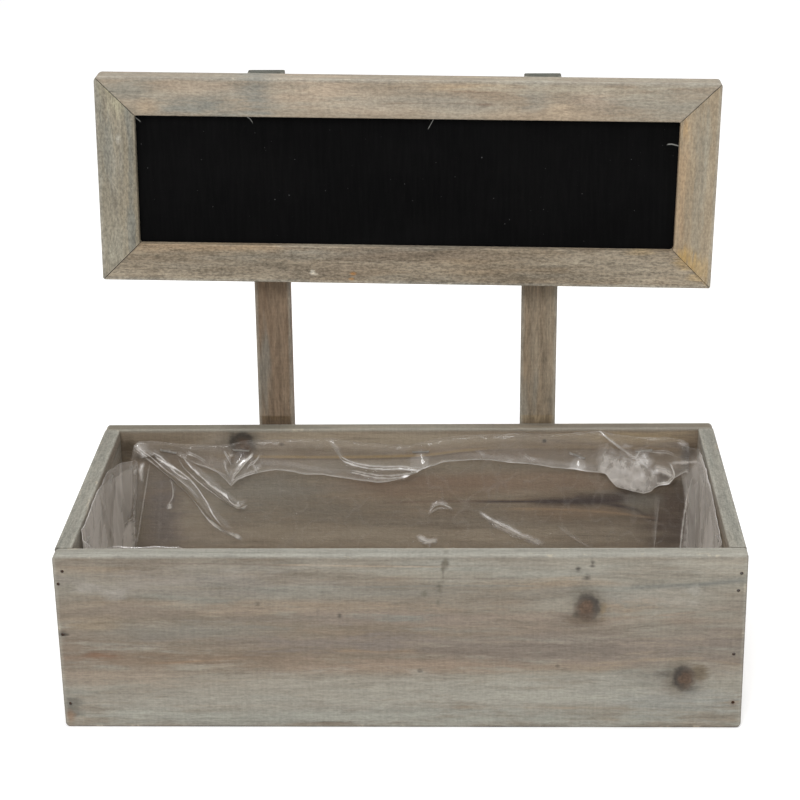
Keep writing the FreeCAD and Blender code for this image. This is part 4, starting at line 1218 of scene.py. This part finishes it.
tree.links.new(
    blended(tree, haze, (0.89, 0.83, 0.775, 1), (0.96, 0.91, 0.855, 1)), shader.inputs["Base Color"]
)
tree.links.new(ramp(tree, milky_and_highlit, 0.0, 1.0, 0.12, 0.35), shader.inputs["Roughness"])
emboss(tree, shader, haze, 0.5, 0.0004)
shader.inputs["IOR"].default_value = 2.4
shader.inputs["Specular IOR Level"].default_value = 1.0
film.data.materials.append(clear_film)


# Liner staples
# Bright galvanised wire, bent square and shot through the film into the boards.

staple_wire = plain_metal(
    "galvanised staple wire", (0.55, 0.53, 0.5), (0.4, 0.38, 0.35), 0.35, metallic=0.6
)
finish_node("liner_staples", staple_wire)


# Posts
# Two planed pine battens, browner than the boards, screwed to the back board's outside.

post_lean = math.radians(0.45)
post_half_section = (0.0115, 0.005)
past_the_top = 0.01
look_left_post = dict(
    look_front,
    Heart=(0.165, 0.112, 0.072, 1),
    Wash=(0.29, 0.215, 0.148, 1),
    Warm=(0.3, 0.19, 0.11, 1),
    Ring_Width=0.005,
    Ring_Strength=0.25,
    Fibre_Strength=0.26,
)
look_right_post = dict(
    look_left_post,
    Heart=(0.215, 0.16, 0.107, 1),
    Wash=(0.375, 0.31, 0.225, 1),
    Warm=(0.36, 0.27, 0.18, 1),
)
# The last colour of each row is a band just above the back board's top: dark on the left post as painted
# shade, lighter tan on the right.
for name, seed, look, base_band in (
    ("left_post", 31.0, look_left_post, (0.12, 0.075, 0.035)),
    ("right_post", 36.0, look_right_post, (0.33, 0.25, 0.15)),
):
    middle, half_size = middle_and_half(name)
    look["Pith"] = (0, middle[0] + 0.03, 0.14)
    # A dark patch where the post meets the back board's top edge: painted shade.
    shade_at_board_top = ((0.113, middle[0] - 0.0008, 0.004, 0.02, (0.11, 0.08, 0.055), 0.6),)
    top = middle[2] + half_size[2]
    bands = (
        (((top - 0.0018, middle[0]), (top + 0.0072, middle[0])), 0.05, (0.085, 0.088, 0.072), 1.0),
        (((0.112, middle[0]), (0.1195, middle[0])), 0.025, base_band, 0.75),
    )
    upright = (middle, (*post_half_section, half_size[2] + past_the_top))
    finish_wood(name, "ZXY", seed, look, stains=shade_at_board_top, lines=bands, box=upright, turn=-post_lean)


# Sign frame
# Four pine rails and stiles mitred at the corners, glued, and stapled across the back.

sign_roll = math.radians(1.25)
sign_middle = (0.0018, 0.0925, 0.2807)
sign_half_size = (0.1935, 0.0075, 0.0659)
sign_box = (sign_middle, sign_half_size)
honey = (0.42, 0.325, 0.225)
dusk = (0.235, 0.235, 0.205)
top_rail_stains = (
    (-0.122, 0.3295, 0.026, 0.008, dusk, 0.85),
    (-0.091, 0.337, 0.011, 0.02, (0.23, 0.232, 0.205), 0.8),
    (-0.172, 0.3385, 0.02, 0.0065, (0.26, 0.25, 0.21), 0.7),
    (-0.13, 0.3395, 0.02, 0.005, (0.44, 0.35, 0.26), 0.6),
    (-0.159, 0.328, 0.006, 0.0045, honey, 0.7),
    (-0.05, 0.338, 0.033, 0.008, (0.44, 0.35, 0.26), 0.85),
    (-0.01, 0.328, 0.04, 0.003, (0.44, 0.36, 0.27), 0.6),
    (0.035, 0.343, 0.036, 0.003, (0.48, 0.37, 0.25), 0.75),
    (0.02, 0.334, 0.045, 0.005, (0.33, 0.3, 0.245), 0.5),
    (0.096, 0.3285, 0.013, 0.006, (0.48, 0.38, 0.27), 0.75),
    (0.081, 0.337, 0.008, 0.01, (0.3, 0.28, 0.235), 0.6),
    (0.118, 0.336, 0.014, 0.007, (0.46, 0.36, 0.27), 0.6),
    (0.155, 0.334, 0.03, 0.009, (0.33, 0.31, 0.255), 0.6),
    (0.1, 0.3425, 0.05, 0.004, (0.41, 0.37, 0.29), 0.7),
    (0.05, 0.332, 0.006, 0.001, (0.2, 0.14, 0.1), 0.7),
)
top_rail_lines = (
    (((-0.196, 0.3509), (-0.18, 0.3349), (-0.163, 0.3179)), 0.0005, near_black, 1.0),
    (((0.1666, 0.3179), (0.183, 0.3343), (0.1996, 0.3509)), 0.0006, near_black, 0.95),
    (((-0.4, 0.3469), (0.0, 0.3469), (0.4, 0.3469)), 0.0007, (0.31, 0.275, 0.22), 0.75),
    (((-0.02, 0.331), (0.01, 0.3322), (0.05, 0.3325)), 0.0004, (0.2, 0.14, 0.1), 0.7),
    (((0.02, 0.3405), (0.05, 0.3398), (0.075, 0.3402)), 0.0005, (0.24, 0.17, 0.12), 0.6),
)
bottom_rail_stains = (
    (-0.11, 0.2375, 0.05, 0.0022, (0.33, 0.24, 0.15), 0.75),
    (-0.1, 0.226, 0.05, 0.007, (0.27, 0.235, 0.18), 0.5),
    (0.0, 0.2345, 0.06, 0.0045, (0.19, 0.15, 0.11), 0.7),
    (-0.04, 0.2255, 0.03, 0.005, (0.2, 0.155, 0.11), 0.55),
    (0.13, 0.231, 0.05, 0.008, (0.34, 0.295, 0.225), 0.6),
    (-0.0575, 0.2222, 0.0012, 0.0013, (0.7, 0.64, 0.53), 1.0),
    (-0.0562, 0.2207, 0.0014, 0.0006, (0.6, 0.53, 0.42), 0.9),
    (-0.0315, 0.2215, 0.0016, 0.0009, (0.34, 0.17, 0.06), 0.9),
    (-0.0325, 0.2178, 0.0014, 0.0009, (0.36, 0.2, 0.08), 0.8),
    (0.15, 0.2385, 0.008, 0.0016, (0.46, 0.34, 0.19), 0.6),
    (0.1775, 0.2315, 0.005, 0.0045, (0.45, 0.32, 0.16), 0.75),
    (0.187, 0.2225, 0.005, 0.003, (0.45, 0.33, 0.18), 0.7),
)
bottom_rail_lines = (
    (((-0.196, 0.2105), (-0.18, 0.2265), (-0.163, 0.2435)), 0.0005, near_black, 0.8),
    (((0.1666, 0.2435), (0.183, 0.2271), (0.1996, 0.2105)), 0.0005, near_black, 0.6),
    # A lighter line on the rail's upper inner edge, where the ledge faces up: painted light.
    (((-0.2, 0.2405), (-0.1, 0.2405), (0.0, 0.2405), (0.2, 0.2405)), 0.0009, (0.36, 0.32, 0.25), 0.7),
    (((-0.19, 0.2383), (-0.1, 0.238), (-0.03, 0.2372)), 0.0005, (0.17, 0.125, 0.085), 0.7),
    (((0.176, 0.2425), (0.182, 0.233), (0.194, 0.215)), 0.0018, (0.46, 0.33, 0.18), 0.7),
)
left_stile_stains = (
    (0.331, -0.1775, 0.007, 0.006, (0.37, 0.34, 0.24), 0.9),
    (0.339, -0.1835, 0.006, 0.004, (0.36, 0.325, 0.22), 0.85),
    (0.3, -0.171, 0.05, 0.0025, (0.19, 0.19, 0.165), 0.7),
    (0.25, -0.1715, 0.02, 0.003, (0.2, 0.195, 0.165), 0.75),
    (0.3, -0.1855, 0.02, 0.005, (0.23, 0.23, 0.2), 0.55),
    (0.285, -0.179, 0.02, 0.004, (0.34, 0.315, 0.26), 0.5),
    (0.236, -0.183, 0.014, 0.006, (0.36, 0.335, 0.265), 0.6),
    (0.268, -0.1815, 0.006, 0.002, (0.14, 0.12, 0.09), 0.5),
    (0.307, -0.1785, 0.003, 0.002, (0.42, 0.39, 0.33), 0.7),
)
right_stile_stains = (
    (0.285, 0.1735, 0.05, 0.0028, (0.42, 0.3, 0.185), 0.8),
    (0.31, 0.187, 0.03, 0.0035, (0.31, 0.295, 0.24), 0.6),
    (0.26, 0.1845, 0.04, 0.0025, (0.32, 0.29, 0.225), 0.5),
    (0.2345, 0.1765, 0.006, 0.004, (0.46, 0.3, 0.11), 0.8),
    (0.229, 0.183, 0.005, 0.003, (0.46, 0.31, 0.13), 0.8),
    (0.225, 0.1885, 0.008, 0.004, (0.46, 0.33, 0.17), 0.7),
    (0.318, 0.174, 0.01, 0.002, (0.48, 0.33, 0.18), 0.7),
)
look_top_rail = dict(
    look_front,
    Heart=(0.29, 0.222, 0.155, 1),
    Wash=(0.39, 0.345, 0.272, 1),
    Warm=(0.45, 0.345, 0.24, 1),
    Ring_Width=0.004,
    Warm_Share=0.4,
    Cool_Share=0.3,
    Fibre_Strength=0.13,
    Grit_Strength=0.15,
)
look_bottom_rail = dict(
    look_top_rail,
    Heart=(0.235, 0.185, 0.127, 1),
    Wash=(0.385, 0.33, 0.25, 1),
    Warm=(0.4, 0.295, 0.19, 1),
    Fibre_Strength=0.25,
    Grit_Strength=0.26,
)
look_left_stile = dict(
    look_bottom_rail,
    Heart=(0.205, 0.178, 0.13, 1),
    Wash=(0.328, 0.298, 0.232, 1),
    Warm=(0.33, 0.275, 0.19, 1),
    Grit_Strength=0.22,
    Fibre_Strength=0.15,
)
look_right_stile = dict(
    look_top_rail,
    Heart=(0.315, 0.24, 0.155, 1),
    Wash=(0.4, 0.333, 0.24, 1),
    Warm=(0.47, 0.345, 0.22, 1),
    Fibre_Strength=0.12,
)
rails = (
    ("sign_top_rail", "XZY", 41.0, 0.34, look_top_rail, top_rail_stains, top_rail_lines),
    ("sign_bottom_rail", "XZY", 44.0, 0.22, look_bottom_rail, bottom_rail_stains, bottom_rail_lines),
    ("sign_left_stile", "ZXY", 47.0, -0.19, look_left_stile, left_stile_stains, ()),
    ("sign_right_stile", "ZXY", 52.0, 0.19, look_right_stile, right_stile_stains, ()),
)
for name, run, seed, across, look, stains, lines in rails:
    look["Pith"] = (0, across, 0.15)
    finish_wood(name, run, seed, look, stains=stains, lines=lines, box=sign_box, turn=-sign_roll)
finish_node("mitre_staples", staple_wire)

screw_steel = plain_metal("zinc plated steel", (0.62, 0.62, 0.64), (0.42, 0.4, 0.37), 0.3)
for name in ("box_screws", "sign_screws", "panel_points"):
    finish_node(name, screw_steel)


# Chalkboard panel
# A thin hardboard panel painted matt black, with the faint upright marks of a dry wipe. Flat
# points hold it in the rabbet behind the frame.

chalk_paint, tree, shader = new_material("matt chalkboard paint")
place = on_the_piece(tree)
wipe = ramp(tree, speckle(tree, place, (520, 1, 40), 1.0, 4.0, 0.7), 0.35, 0.7)
rubbed = ramp(tree, speckle(tree, place, (14, 14, 22), 5.0, 3.0), 0.42, 0.66)
wipe = summed(tree, (wipe, 0.5), (rubbed, 0.35))
colour = blended(tree, wipe, (0.0025, 0.0025, 0.0026, 1), (0.0052, 0.0051, 0.0052, 1))
dust = ramp(tree, speckle(tree, place, (700, 700, 700), 9.0, 1.0), 0.79, 0.84)
colour = blended(tree, dust, colour, (0.1, 0.1, 0.1, 1))
axes = split(tree, place)
panel_middle = middle_and_half("chalkboard_panel")[0][1]
on_face = ramp(tree, axes[1], panel_middle - 0.0005, panel_middle, 1.0, 0.0)
for line in (
    ((0.1635, 0.3028), (0.1662, 0.3037), (0.169, 0.3032), (0.1725, 0.302)),
    ((-0.168, 0.3245), (-0.1656, 0.3228), (-0.163, 0.3205)),
    ((0.0155, 0.314), (0.0175, 0.3175), (0.0205, 0.323)),
    ((-0.097, 0.3235), (-0.0945, 0.3215), (-0.093, 0.3185)),
):
    fluff = drawn_line(tree, axes[0], axes[2], 0.0, line, 0.00035)
    fluff = number(tree, "MULTIPLY", fluff, on_face)
    colour = blended(tree, fluff, colour, (0.3, 0.3, 0.28, 1))
tree.links.new(colour, shader.inputs["Base Color"])
grain = speckle(tree, place, (900, 900, 900), 2.0)
emboss(tree, shader, grain, 0.5, 0.00008)
shader.inputs["Roughness"].default_value = 0.9
shader.inputs["Specular IOR Level"].default_value = 0.05
finish_node("chalkboard_panel", chalk_paint)


# Floor, light and camera
# A plain white floor that runs out of sight, and soft lamps above it.


def in_plain_sight(tree):
    """1 for a ray from the camera, or one that metal or film sends on, else 0."""
    path = added(tree, "ShaderNodeLightPath").outputs
    seen = number(tree, "MAXIMUM", path["Is Camera Ray"], path["Is Glossy Ray"])
    return number(tree, "MAXIMUM", seen, path["Is Transmission Ray"])


bm = bmesh.new()
bmesh.ops.create_grid(bm, x_segments=1, y_segments=1, size=6.0)
floor = placed("floor", bm)
paper, tree, shader = new_material("white paper")
shader.inputs["Base Color"].default_value = (0.95, 0.95, 0.95, 1)
shader.inputs["Roughness"].default_value = 0.9
shader.inputs["Emission Color"].default_value = (1, 1, 1, 1)
glow = number(tree, "MULTIPLY", in_plain_sight(tree), 0.3)
tree.links.new(glow, shader.inputs["Emission Strength"])
floor.data.materials.append(paper)

scene = bpy.context.scene
world = bpy.data.worlds.new("white room")
scene.world = world
world.use_nodes = True
tree = world.node_tree
tree.nodes.clear()
strength = ramp(tree, in_plain_sight(tree), 0.0, 1.0, 0.6, 1.0)
sky = added(tree, "ShaderNodeBackground", {"Color": (1, 1, 1, 1), "Strength": strength})
out = added(tree, "ShaderNodeOutputWorld")
tree.links.new(sky.outputs[0], out.inputs["Surface"])


def lamp(name, place, aim, size, power):
    """A square soft lamp turned to a point."""
    data = bpy.data.lights.new(name, "AREA")
    data.size = size
    data.energy = power
    item = bpy.data.objects.new(name, data)
    item.location = place
    item.rotation_mode = "QUATERNION"
    item.rotation_quaternion = (Vector(aim) - Vector(place)).to_track_quat("-Z", "Y")
    bpy.context.collection.objects.link(item)


box_heart = (0, 0, 0.15)
lamp("key lamp", (-0.5, -1.6, 1.9), box_heart, 0.9, 24)
lamp("top lamp", (0.3, 0.2, 2.2), box_heart, 1.2, 15)

camera_data = bpy.data.cameras.new("camera")
camera_data.lens = 94.68
camera_data.sensor_width = 36.0
camera = bpy.data.objects.new("camera", camera_data)
bpy.context.collection.objects.link(camera)
scene.camera = camera
camera_place = Vector((0.0446, -1.1882, 0.6368))
camera_yaw = math.radians(-2.205)
camera_pitch = math.radians(21.471)
camera_roll = math.radians(-1.023)
turn = Matrix.Rotation(-camera_yaw, 4, "Z") @ Matrix.Rotation(math.pi / 2 - camera_pitch, 4, "X")
camera.matrix_world = Matrix.Translation(camera_place) @ turn @ Matrix.Rotation(camera_roll, 4, "Z")

scene.view_settings.view_transform = "Standard"
